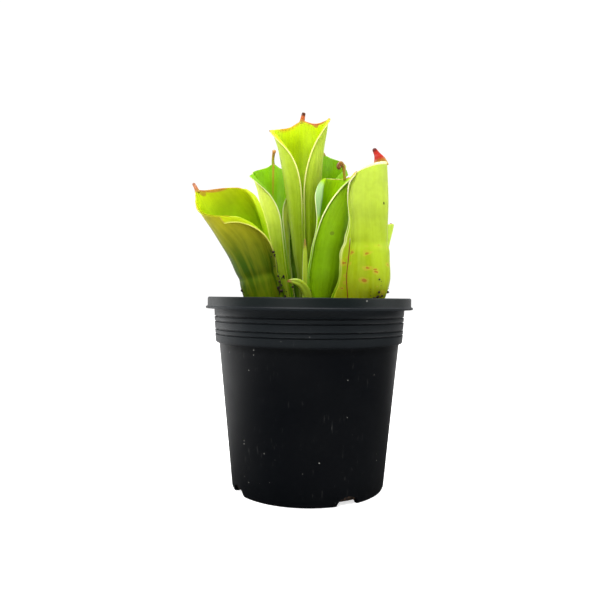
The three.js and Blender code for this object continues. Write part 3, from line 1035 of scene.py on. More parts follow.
@dataclass
class Pitcher:
    """A pitcher: a sheet wrapped into a tube, parted down its front from its notch to its mouth.

    spine holds four points of a cubic curve from the cut base, facing the compass angle of the open
    side, wide and deep the tube's half sizes, wing how far its margins stand out, all from base to
    mouth. corner is half the wrap at the mouth in degrees. hood lifts the back edge, skew one corner
    over the other and peak the point under the spoon, tips draw the left and right corners out and
    lifts raise them, and crease is where along the leaf a shallow waist lies and how deep it is. dirt
    lists the places, as shares round and along the skin, where peat clings to it.
    """

    node: str
    slot: str
    finish: LeafFinish
    spine: tuple[Triple, Triple, Triple, Triple]
    facing: tuple[float, ...]
    wide: tuple[float, ...]
    deep: tuple[float, ...]
    wing: tuple[float, ...]
    notch: float
    corner: float
    flare: float
    hood: float = 0.0
    hood_start: float = 0.7
    hood_curve: float = 2.0
    skew: float = 0.0
    peak: float = 0.0
    peak_at: float = 0.0
    peak_width: float = 0.09
    tips: Pair = (0.0, 0.0)
    lifts: Pair = (0.0, 0.0)
    crease: Pair | None = None
    dirt: tuple[Pair, ...] = ()
    left_wing: tuple[float, ...] | None = None
    spoon: Spoon | None = None

    wall: float = 0.7
    seam_gap: float = 0.3
    seam_strip: float = 1.7
    seam_shares: Pair = (0.45, 0.55)
    strip_span: Pair = (0.004, 0.62)
    floor_share: float = 0.06
    body_share: float = 10 / 12
    base_sink: float = 3.0
    across: int = 72
    steps: int = 56
    level: float = field(init=False)
    knots: list[Vector] = field(init=False)
    rows: dict[float, Row] = field(init=False, default_factory=dict)

    def __post_init__(self) -> None:
        """Stands the spine on the level of the leaf's CAD node."""
        self.level, self.knots = grown(self.node, self.spine, self.base_sink)

    def _row(self, t: float) -> Row:
        """Works out, once, everything that is the same round the leaf.

        Args:
            t: The share of the leaf's length.

        Returns:
            The leaf's cross-section there.
        """
        key = round(t, 6)
        if key not in self.rows:
            up = cubic_direction(self.knots, t)
            compass = math.radians(along(self.facing, t))
            out = Vector((math.cos(compass), math.sin(compass), 0))
            out = (out - up * out.dot(up)).normalized()
            wide, deep = along(self.wide, t), along(self.deep, t)
            closed = math.pi - math.asin((self.wall + self.seam_gap / 2) / wide)
            parted = max(0.0, (t - self.notch) / (1 - self.notch)) ** self.flare
            wrap = closed + (math.radians(self.corner) - closed) * parted
            wings = along(self.left_wing or self.wing, t), along(self.wing, t)
            centre, lift = cubic(self.knots, t), ease(t, self.hood_start, 1)
            self.rows[key] = Row(centre, out, up.cross(out), wide, deep, wrap, wings, lift)
        return self.rows[key]

    def skin_point(self, u: float, t: float) -> Vector:
        """Finds a point of the outer skin.

        Args:
            u: From one margin at -1, by the back at 0, to the other margin at 1.
            t: From the base at 0 to the mouth at 1.

        Returns:
            The point, in millimetres.
        """
        row = self._row(t)
        side = math.copysign(1, u)
        right = u > 0
        angle = min(abs(u) / self.body_share, 1) * row.wrap
        sine, cosine = math.sin(angle) * side, math.cos(angle)
        outward = (-row.out * row.wide * cosine + row.across * row.deep * sine).normalized()
        wing_share = max(0.0, (abs(u) - self.body_share) / (1 - self.body_share))
        rise = self.hood * (1 - abs(u) ** self.hood_curve) + self.skew * u
        rise += self.peak * bell(u - self.peak_at, self.peak_width)
        drawn = self.tips[right] * bell(1 - abs(u), 0.09) * ease(t, 0.9, 1)
        raised = self.lifts[right] * bell(1 - abs(u), 0.3) * ease(t, 0.7, 1)
        point = row.centre - row.out * row.deep * cosine + row.across * row.wide * sine
        point += outward * (row.wings[right] * wing_share + drawn * 0.7)
        point += cubic_direction(self.knots, 1) * (rise * row.lift + drawn * 0.7 + raised)
        return point + outward * self._ripple(point, u, t)

    def _ripple(self, point: Vector, u: float, t: float) -> float:
        """Works out how far the skin waves in and out, most along its margins.

        Args:
            point: The point of the smooth skin.
            u: From one margin at -1 to the other at 1.
            t: From the base at 0 to the mouth at 1.

        Returns:
            How far outwards, in millimetres.
        """
        ripple = uneven(point + Vector((0, 0, 31)), 9, 0.4) * ease(t, 0.1, 0.5)
        margin = ease(abs(u), 0.8, 1) * ease(t, 0.15, 0.4)
        ripple += uneven(Vector((u * 3, t * 14, self.level)), 1, 0.3) * margin
        if self.crease:
            ripple -= self.crease[1] * bell(t - self.crease[0], 0.03)
        return ripple

    def _blade(self) -> bmesh.types.BMesh:
        """Makes the wrapped sheet."""
        return shaped_grid(self.across, self.steps, lambda x, y: self.skin_point(1 - 2 * x, y))

    def _strip(self) -> bmesh.types.BMesh:
        """Makes the strip behind the wings that closes the tube below its notch.

        Returns:
            The strip, with the leaf's own shares along it.
        """
        foot, highest = self.strip_span
        span = min(self.notch, highest)
        left, right = self.seam_shares

        def place(x: float, y: float) -> Vector:
            """Finds a point of the strip, a share x across it and a share y up it."""
            row = self._row(foot + y * span)
            return row.centre + row.across * (0.5 - x) * self.seam_strip + row.out * row.deep

        strip = shaped_grid(2, 24, place)
        shares = strip.loops.layers.uv.active
        for face in strip.faces:
            for corner in face.loops:
                x, y = corner[shares].uv
                corner[shares].uv = (left + (right - left) * x, span * y)
        return strip

    def _floor(self) -> bmesh.types.BMesh:
        """Makes the bottom of the hollow, just above the rhizome.

        Returns:
            The disc.
        """
        row = self._row(self.floor_share)
        disc = bmesh.new()
        disc.loops.layers.uv.new("UVMap")
        bmesh.ops.create_circle(disc, cap_ends=True, segments=24, radius=1)
        for vertex in disc.verts:
            x, y = vertex.co.x, vertex.co.y
            vertex.co = (row.centre + (row.across * x + row.out * y) * (row.wide - self.wall / 2)) * MM
        return disc

    def build(self, effects: Effects) -> bpy.types.Object:
        """Makes the leaf and its spoon.

        Args:
            effects: The shared groups.

        Returns:
            The leaf.
        """
        sheet = self._blade()
        add_into(sheet, self._strip())
        add_into(sheet, self._floor())
        name = self.node.replace("pitcher_", "leaf_")
        skins = [self.finish.make(name, skin, effects) for skin in Skin]
        leaf = finished(name, sheet, skins)
        wall = leaf.modifiers.new("wall", "SOLIDIFY")
        wall.thickness = self.wall * MM
        wall.offset = -1
        wall.material_offset = Skin.INNER.value
        wall.material_offset_rim = Skin.RIM.value
        subdivide(leaf)
        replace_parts(leaf, self.node)
        if self.spoon:
            tip = self.skin_point(self.peak_at, 1)
            self.spoon.build(name.replace("leaf_", "spoon_"), tip, effects, self.slot)
        return leaf


@dataclass
class ClingingPeat:
    """Crumbs of peat that cling to the foot of a leaf, along its seam and round its skin."""

    pitcher: Pitcher
    count: int = 40
    seed: int = 5
    spread: Pair = (0.09, 0.05)
    sizes: Pair = (0.2, 0.95)
    lowest: float = 0.02

    def build(self, material: bpy.types.Material) -> bpy.types.Object:
        """Makes the crumbs as one mesh.

        Args:
            material: The peat.

        Returns:
            The piece.
        """
        chance = random.Random(self.seed)
        heap = bmesh.new()
        for i in range(self.count):
            u, t = chance.choice(self.pitcher.dirt)
            u = min(max(u + self.spread[0] * chance.gauss(0, 1), -1), 1)
            t = max(t + self.spread[1] * chance.gauss(0, 1), self.lowest)
            size = mix(*self.sizes, chance.random() ** 2)
            half = (size * mix(0.8, 1.5, chance.random()), size, size * mix(0.7, 1.2, chance.random()))
            turn = math.tau * chance.random()
            add_into(heap, lump(half, self.pitcher.skin_point(u, t), turn, 0.7 * i, CRUMB_DETAIL))
        name = self.pitcher.node.replace("pitcher_", "peat_on_")
        return finished(name, heap, [material])


@dataclass
class Shoot:
    """A young leaf that has not opened: a folded blade along a spine, solid inside."""

    node: str
    slot: str
    finish: SpoonFinish
    spine: tuple[Triple, Triple, Triple, Triple]
    wide: tuple[float, ...]
    deep: tuple[float, ...]
    fold: float = 0.3
    base_sink: float = 3.0
    around: int = 24
    steps: int = 44

    def build(self, effects: Effects) -> bpy.types.Object:
        """Makes the shoot.

        Args:
            effects: The shared groups.

        Returns:
            The piece.
        """
        _, knots = grown(self.node, self.spine, self.base_sink)

        def place(x: float, y: float) -> Vector:
            """Finds a point of the blade.

            Args:
                x: The share round it.
                y: The share along it.

            Returns:
                The point, in millimetres.
            """
            up = cubic_direction(knots, y)
            forward = Vector((0, -1, 0))
            forward = (forward - up * forward.dot(up)).normalized()
            across = up.cross(forward)
            turn = math.tau * x
            seam = 1 - self.fold * bell(turn - math.pi * 1.5, 0.35) * ease(y, 0.05, 0.3)
            close = math.sqrt(max(0.0, 1 - max(0.0, (y - 0.94) / 0.06) ** 2))
            out_wide = along(self.wide, y) * close
            out_deep = along(self.deep, y) * close * seam
            side = across * out_wide * math.cos(turn) - forward * out_deep * math.sin(turn)
            return cubic(knots, y) + side

        blade = closed_tube(self.around, self.steps, place)
        piece = finished(self.node + "_blade", blade, [self.finish.make(self.node, effects)])
        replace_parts(piece, self.node)
        return piece


# ---------------------------------------------------------------- pot


@dataclass
class NurseryPot:
    """The pot: one moulding with a plain band, a lip, a ribbed collar and a tapered body."""

    node: str = "nursery_pot"
    band_wall: float = 1.3
    band_depth: float = 5.5
    lip_out: float = 0.8
    lip_height: float = 1.4
    collar_radius: float = 46.0
    collar_taper: float = 0.9
    collar_depth: float = 21.5
    body_step: float = 1.6
    base_radius: float = 36.6
    wall: float = 1.2
    floor: float = 1.6
    groove_depths: tuple[float, ...] = (9.1, 11.4, 15.1, 17.3)
    groove_width: float = 0.75
    groove_cut: float = 0.5
    ridge_out: float = 0.12
    drain_count: int = 4
    drain_width: float = 11.0
    drain_height: float = 4.4
    drain_turn: float = -61.0
    sides: int = 192
    height: float = field(init=False)
    band_radius: float = field(init=False)

    def __post_init__(self) -> None:
        """Takes the pot's height and its radius over the band from its CAD node."""
        low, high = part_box(self.node)
        self.height = (high.z - low.z) / MM
        self.band_radius = high.x / MM - self.lip_out

    def collar_at(self, depth: float) -> float:
        """Outside radius of the collar at a depth below the mouth."""
        share = (depth - self.band_depth) / (self.collar_depth - self.band_depth)
        return self.collar_radius - self.collar_taper * share

    @property
    def body_top(self) -> float:
        """Outside radius of the body where it meets the collar."""
        return self.collar_radius - self.collar_taper - self.body_step

    def body_at(self, height: float) -> float:
        """Outside radius of the body at a height above the floor."""
        return mix(self.base_radius, self.body_top, height / (self.height - self.collar_depth))

    def _outline(self) -> list[Pair]:
        """Draws the pot's outline, up the outside and down the inside.

        Returns:
            Radius and height of each point.
        """
        top = self.height
        foot = top - self.collar_depth
        points = [(0.0, 0.9), (self.base_radius - 3.4, 0.9), (self.base_radius - 2.9, 0.0)]
        points += [(self.base_radius - 1.2, 0.0), (self.base_radius - 0.35, 0.3), (self.body_at(1.3), 1.3)]
        points += [(self.body_at(share * foot), share * foot) for share in (0.15, 0.4, 0.7, 0.95)]
        points += [(self.body_top - 0.05, foot - 0.5), (self.body_top + 0.3, foot)]
        points += [(self.collar_at(self.collar_depth) - 0.35, foot + 0.1)]
        points += [(self.collar_at(self.collar_depth), foot + 0.45)]
        half = self.groove_width / 2
        for depth in reversed(self.groove_depths):
            edge = self.ridge_out
            points += [
                (self.collar_at(depth + half) + edge, top - depth - half),
                (self.collar_at(depth) - self.groove_cut, top - depth - half * 0.35),
                (self.collar_at(depth) - self.groove_cut, top - depth + half * 0.35),
                (self.collar_at(depth - half) + edge, top - depth + half),
                (self.collar_at(depth - half * 1.8), top - depth + half * 1.8),
            ]
        lip = self.band_radius + self.lip_out
        under = top - self.band_depth
        points += [(self.collar_radius, under - 0.5), (self.collar_radius + 0.4, under)]
        points += [(lip - 0.25, under), (lip, under + 0.2), (lip, under + 0.9), (lip - 0.2, under + 1.15)]
        points += [(self.band_radius + 0.15, under + self.lip_height - 0.2)]
        points += [(self.band_radius, under + self.lip_height + 0.2), (self.band_radius, top - 0.8)]
        points += [(self.band_radius - 0.2, top - 0.25), (self.band_radius - 0.6, top)]
        inner = self.band_radius - self.band_wall
        points += [(inner + 0.25, top), (inner, top - 0.25), (inner, under + self.wall)]
        points += [(self.collar_radius - self.wall, under + self.wall - 0.3)]
        points += [(self.collar_at(self.collar_depth) - self.wall, foot + 0.4)]
        points += [(self.body_top - self.wall, foot - 0.8)]
        points += [(self.body_at(self.floor) - self.wall, self.floor + 0.6)]
        points += [(self.body_at(self.floor) - self.wall - 0.6, self.floor), (0.0, self.floor)]
        return points

    def _drain_cutter(self, index: int) -> bpy.types.Object:
        """Makes the block with an arched top which cuts one drain notch.

        Args:
            index: Which notch, counted round from the first.

        Returns:
            The block, as an object of its own.
        """
        block = bmesh.new()
        half = self.drain_width / 2
        arc = [(half * math.cos(turn), self.drain_height * math.sin(turn)) for turn in self._half_turn(10)]
        outline = [(half, -1.0), *arc, (-half, -1.0)]
        inside = self.base_radius - 4
        corners = [block.verts.new((inside * MM, y * MM, z * MM)) for y, z in outline]
        face = block.faces.new(corners)
        pushed = bmesh.ops.extrude_face_region(block, geom=[face])
        moved = [item for item in pushed["geom"] if isinstance(item, bmesh.types.BMVert)]
        bmesh.ops.translate(block, verts=moved, vec=(9 * MM, 0, 0))
        turn = math.radians(self.drain_turn + index * 360 / self.drain_count)
        bmesh.ops.rotate(block, verts=block.verts, cent=(0, 0, 0), matrix=Matrix.Rotation(turn, 3, "Z"))
        bmesh.ops.recalc_face_normals(block, faces=block.faces)
        mesh = bpy.data.meshes.new("drain_cutter")
        block.to_mesh(mesh)
        block.free()
        cutter = bpy.data.objects.new("drain_cutter", mesh)
        bpy.context.scene.collection.objects.link(cutter)
        return cutter

    @staticmethod
    def _half_turn(steps: int) -> list[float]:
        """Angles of a half turn, in even steps."""
        return [math.pi * i / steps for i in range(steps + 1)]

    def build(self, effects: Effects) -> bpy.types.Object:
        """Makes the pot and cuts its drain notches.

        Args:
            effects: The shared groups.

        Returns:
            The pot.
        """
        plastic = PotPlastic().make(effects)
        pot = finished("pot", turned(self._outline(), self.sides), [plastic])
        cutters = [self._drain_cutter(i) for i in range(self.drain_count)]
        for cutter in cutters:
            cut = pot.modifiers.new("drain", "BOOLEAN")
            cut.operation = "DIFFERENCE"
            cut.solver = "EXACT"
            cut.object = cutter
        bpy.context.view_layer.update()
        made = pot.evaluated_get(bpy.context.evaluated_depsgraph_get())
        cut_mesh = bpy.data.meshes.new_from_object(made)
        pot.modifiers.clear()
        pot.data = cut_mesh
        for cutter in cutters:
            bpy.data.objects.remove(cutter)
        self._sharpen(cut_mesh)
        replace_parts(pot, self.node)
        return pot

    @staticmethod
    def _sharpen(mesh: bpy.types.Mesh) -> None:
        """Keeps the moulding's corners crisp and its turned faces smooth.

        Args:
            mesh: The pot's mesh.
        """
        body = bmesh.new()
        body.from_mesh(mesh)
        bmesh.ops.remove_doubles(body, verts=body.verts, dist=WELD)
        for face in body.faces:
            face.smooth = True
        for edge in body.edges:
            edge.smooth = not (edge.is_manifold and edge.calc_face_angle() > CRISP)
        body.to_mesh(mesh)
        body.free()


# ---------------------------------------------------------------- potting mix


@dataclass(frozen=True)
class Litter:
    """Loose pieces of one kind: how many, their least and greatest half size, and how flat they are."""

    kind: Crumb
    count: int
    sizes: Pair
    flat: float


@dataclass
class PottingMix:
    """The mix that fills the pot, with the loose pieces that lie on it."""

    pot: NurseryPot
    node: str = "potting_mix"
    gap: float = 0.3
    lumps: float = 0.9
    rings: int = 30
    sides: int = 96
    clear_edge: float = 2.6
    seed: int = 11
    litter: tuple[Litter, ...] = (
        Litter(Crumb.PEAT, 520, (0.7, 2.0), 0.75),
        Litter(Crumb.PERLITE, 46, (0.5, 1.2), 0.85),
        Litter(Crumb.BARK, 40, (1.2, 3.0), 0.35),
    )
    finishes: dict[Crumb, Rough] = field(
        default_factory=lambda: {
            Crumb.PEAT: Rough("peat", (0.010, 0.006, 0.004), (0.075, 0.04, 0.02), 900),
            Crumb.PERLITE: Rough("perlite", (0.42, 0.38, 0.3), (0.85, 0.83, 0.76), 900, relief=0.0003),
            Crumb.BARK: Rough("bark", (0.025, 0.012, 0.007), (0.16, 0.075, 0.035), 450, long_grain=4.0),
        }
    )
    level: float = field(init=False)
    materials: dict[Crumb, bpy.types.Material] = field(init=False, default_factory=dict)

    def __post_init__(self) -> None:
        """Takes the level of the mix from its CAD node."""
        self.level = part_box(self.node)[1].z / MM

    def surface_at(self, x: float, y: float) -> float:
        """Finds the height of the mix.

        Args:
            x: The place across, in millimetres.
            y: The place in depth, in millimetres.

        Returns:
            The height, in millimetres.
        """
        place = Vector((x, y, 0))
        out = place.length / (self.pot.collar_radius - self.pot.wall)
        sunk = self.level - 1.3 * out**4
        return sunk + uneven(place, 7, self.lumps) + uneven(place, 2.1, self.lumps / 2) - 0.2

    def _heap(self) -> bmesh.types.BMesh:
        """Makes the filled volume, turned and then made lumpy on top.

        Returns:
            The mesh.
        """
        rim = self.pot.collar_radius - self.pot.wall - self.gap - self.pot.collar_taper
        edge = self.level - 1.6
        top = [(rim * i / self.rings, edge) for i in range(self.rings, -1, -1)]
        floor = self.pot.floor + self.gap
        foot = self.pot.height - self.pot.collar_depth
        sides = [(0.0, floor), (self.pot.body_at(floor) - self.pot.wall - self.gap, floor)]
        sides += [(self.pot.body_top - self.pot.wall - self.gap, foot - 1), (rim, foot + 1)]
        heap = turned([*sides, *top], self.sides)
        for vertex in heap.verts:
            if abs(vertex.co.z / MM - edge) < 0.01:
                vertex.co.z = self.surface_at(vertex.co.x / MM, vertex.co.y / MM) * MM
        return heap

    def _strew(self, litter: Litter, chance: random.Random) -> bpy.types.Object:
        """Strews many small pieces over the mix, as one mesh.

        Args:
            litter: What is strewn.
            chance: The seeded source of the places and sizes.

        Returns:
            The piece.
        """
        heap = bmesh.new()
        reach = self.pot.collar_radius - self.pot.wall - self.clear_edge
        for i in range(litter.count):
            out, turn = reach * math.sqrt(chance.random()), math.tau * chance.random()
            size = mix(*litter.sizes, chance.random() ** 2)
            x, y = out * math.cos(turn), out * math.sin(turn)
            half = (size * mix(0.7, 1.3, chance.random()), size, size * litter.flat)
            centre = Vector((x, y, self.surface_at(x, y) + size * litter.flat * 0.45))
            add_into(heap, lump(half, centre, math.tau * chance.random(), 0.37 * i, CRUMB_DETAIL))
        kind = litter.kind
        return finished(f"{kind.value}_crumbs", heap, [self.materials[kind]])

    def _stands_for(self, node: str, kind: Crumb) -> None:
        """Puts a finely shaped piece where a CAD grain or chip lies.

        Args:
            node: The CAD node.
            kind: What it is.
        """
        low, high = (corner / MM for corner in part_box(node))
        half = tuple((high - low) / 2)
        seed = float(sum(ord(letter) for letter in node) % 97)
        crumb = lump(half, (low + high) / 2, 0.0, seed, PIECE_DETAIL)
        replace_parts(finished(node + "_piece", crumb, [self.materials[kind]]), node)

    def build(self, effects: Effects) -> None:
        """Makes the mix and everything that lies on it.

        Args:
            effects: The shared groups.
        """
        self.materials = {kind: finish.make(effects) for kind, finish in self.finishes.items()}
        mix_piece = finished("mix", self._heap(), [self.materials[Crumb.PEAT]])
        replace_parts(mix_piece, self.node)
        chance = random.Random(self.seed)
        for litter in self.litter:
            self._strew(litter, chance)
        for node in sorted(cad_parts):
            for start, kind in (("perlite_grain", Crumb.PERLITE), ("bark_chip", Crumb.BARK)):
                if node.startswith(start):
                    self._stands_for(node, kind)
        bark = Rough("rhizome_bark", (0.04, 0.02, 0.008), (0.2, 0.11, 0.04), 500, long_grain=0.3)
        dress("rhizome", bark.make(effects))


# ---------------------------------------------------------------- the clump

DARK = (0.02, 0.006, 0.004)
BROWN = (0.24, 0.08, 0.012)

TALL = LeafFinish(
    # the near-black low outer colour is a painted shade at the foot of the leaf
    outer=((0.03, 0.05, 0.001), (0.17, 0.27, 0.003), (0.44, 0.57, 0.04)),
    inner=((0.1, 0.19, 0.001), (0.17, 0.29, 0.001), (0.5, 0.66, 0.001)),
    blush=(0.5, 0.1, 0.02),
    marks=(
        Mark(Skin.INNER, 0.33, 1.0, 0.17, 0.018, (0.4, 0.08, 0.03), 0.8),
        Mark(Skin.INNER, 0.36, 1.0, 0.04, 0.035, (0.4, 0.08, 0.03), 0.7),
        Mark(Skin.RIM, 0.0, 1.0, 0.05, 0.03, (0.7, 0.4, 0.25), 0.9),
        Mark(Skin.INNER, 0.0, 1.0, 0.03, 0.03, (0.72, 0.5, 0.3), 0.8),
        Mark(Skin.INNER, 1.0, 1.0, 0.035, 0.02, (0.3, 0.12, 0.03), 0.8),
        Mark(Skin.OUTER, 1.0, 1.0, 0.035, 0.02, (0.3, 0.12, 0.03), 0.8),
        Mark(Skin.RIM, 1.0, 1.0, 0.035, 0.02, (0.3, 0.12, 0.03), 0.8),
        Mark(Skin.OUTER, 0.78, 0.79, 0.004, 0.018, (0.06, 0.09, 0.01), 0.9),
        Mark(Skin.OUTER, 0.772, 0.81, 0.0035, 0.012, (0.06, 0.09, 0.01), 0.8),
    ),
)
BACK_LEFT = LeafFinish(
    outer=((0.15, 0.21, 0.001), (0.25, 0.4, 0.003), (0.64, 0.75, 0.1)),
    inner=((0.06, 0.16, 0.001), (0.15, 0.32, 0.001), (0.17, 0.38, 0.001)),
    rim=(0.8, 0.84, 0.4),
    blush=(0.36, 0.17, 0.02),
    blush_from=0.995,
    inner_blush_from=0.995,
    midrib=0.75,
)
FRONT_LEFT = LeafFinish(
    outer=((0.09, 0.165, 0.001), (0.032, 0.078, 0.001), (0.37, 0.34, 0.008)),
    inner=((0.1, 0.22, 0.001), (0.22, 0.4, 0.001), (0.4, 0.46, 0.002)),
    rim=(0.78, 0.76, 0.16),
    blush=(0.42, 0.14, 0.03),
    blush_from=0.995,
    inner_blush_from=0.98,
    marks=(
        Mark(Skin.INNER, 0.37, 1.0, 0.13, 0.05, (0.42, 0.14, 0.03), 0.75),
        Mark(Skin.INNER, 0.46, 0.97, 0.03, 0.06, (0.3, 0.1, 0.02), 0.6),
        Mark(Skin.RIM, 0.37, 1.0, 0.15, 0.05, (0.5, 0.14, 0.04), 0.9),
    ),
)
CENTRE_RIGHT = LeafFinish(
    outer=((0.2, 0.38, 0.001), (0.14, 0.28, 0.001), (0.19, 0.34, 0.004)),
    # the inner greens are made lighter to make up for the shade inside the tube: painted light
    inner=((0.2, 0.42, 0.001), (0.3, 0.56, 0.001), (0.26, 0.46, 0.001)),
    rim=(0.84, 0.86, 0.42),
    blush=(0.4, 0.16, 0.03),
    blush_from=0.995,
    inner_blush_from=0.99,
    midrib=0.8,
    marks=(
        Mark(Skin.OUTER, 0.2, 0.62, 0.02, 0.014, (0.1, 0.12, 0.01), 0.6),
        Mark(Skin.INNER, 0.97, 0.84, 0.1, 0.14, (0.26, 0.4, 0.2), 0.8),
        Mark(Skin.OUTER, 0.97, 0.84, 0.1, 0.14, (0.26, 0.4, 0.2), 0.8),
    ),
)
BACK_RIGHT = LeafFinish(
    outer=((0.08, 0.16, 0.001), (0.2, 0.38, 0.001), (0.3, 0.5, 0.004)),
    inner=((0.06, 0.14, 0.001), (0.26, 0.5, 0.001), (0.14, 0.32, 0.001)),
    rim=(0.3, 0.55, 0.02),
    blush=(0.3, 0.2, 0.02),
    blush_from=0.998,
    inner_blush_from=0.998,
)
FRONT_RIGHT = LeafFinish(
    outer=((0.36, 0.4, 0.001), (0.27, 0.37, 0.004), (0.4, 0.52, 0.05)),
    inner=((0.1, 0.2, 0.001), (0.22, 0.38, 0.001), (0.36, 0.52, 0.004)),
    rim=(0.9, 0.8, 0.5),
    blush=(0.5, 0.12, 0.03),
    blush_from=0.995,
    lip=0.85,
    inner_blush_from=0.95,
    spots=1.0,
    marks=(
        Mark(Skin.OUTER, 0.4, 0.79, 0.007, 0.008, (0.01, 0.008, 0.006), 1.0),
        Mark(Skin.RIM, 0.5, 0.36, 0.2, 0.25, (0.22, 0.04, 0.015), 0.95),
    ),
)
BACK_SHADED = LeafFinish(
    outer=((0.07, 0.13, 0.002), (0.12, 0.24, 0.002), (0.14, 0.29, 0.003)),
    inner=((0.04, 0.1, 0.002), (0.08, 0.18, 0.002), (0.1, 0.26, 0.003)),
    rim=(0.5, 0.62, 0.16),
)
SMALL_RIGHT = LeafFinish(
    outer=((0.12, 0.22, 0.004), (0.28, 0.42, 0.02), (0.46, 0.62, 0.06)),
    inner=((0.08, 0.18, 0.002), (0.2, 0.36, 0.004), (0.34, 0.52, 0.01)),
    rim=(0.8, 0.84, 0.36),
)


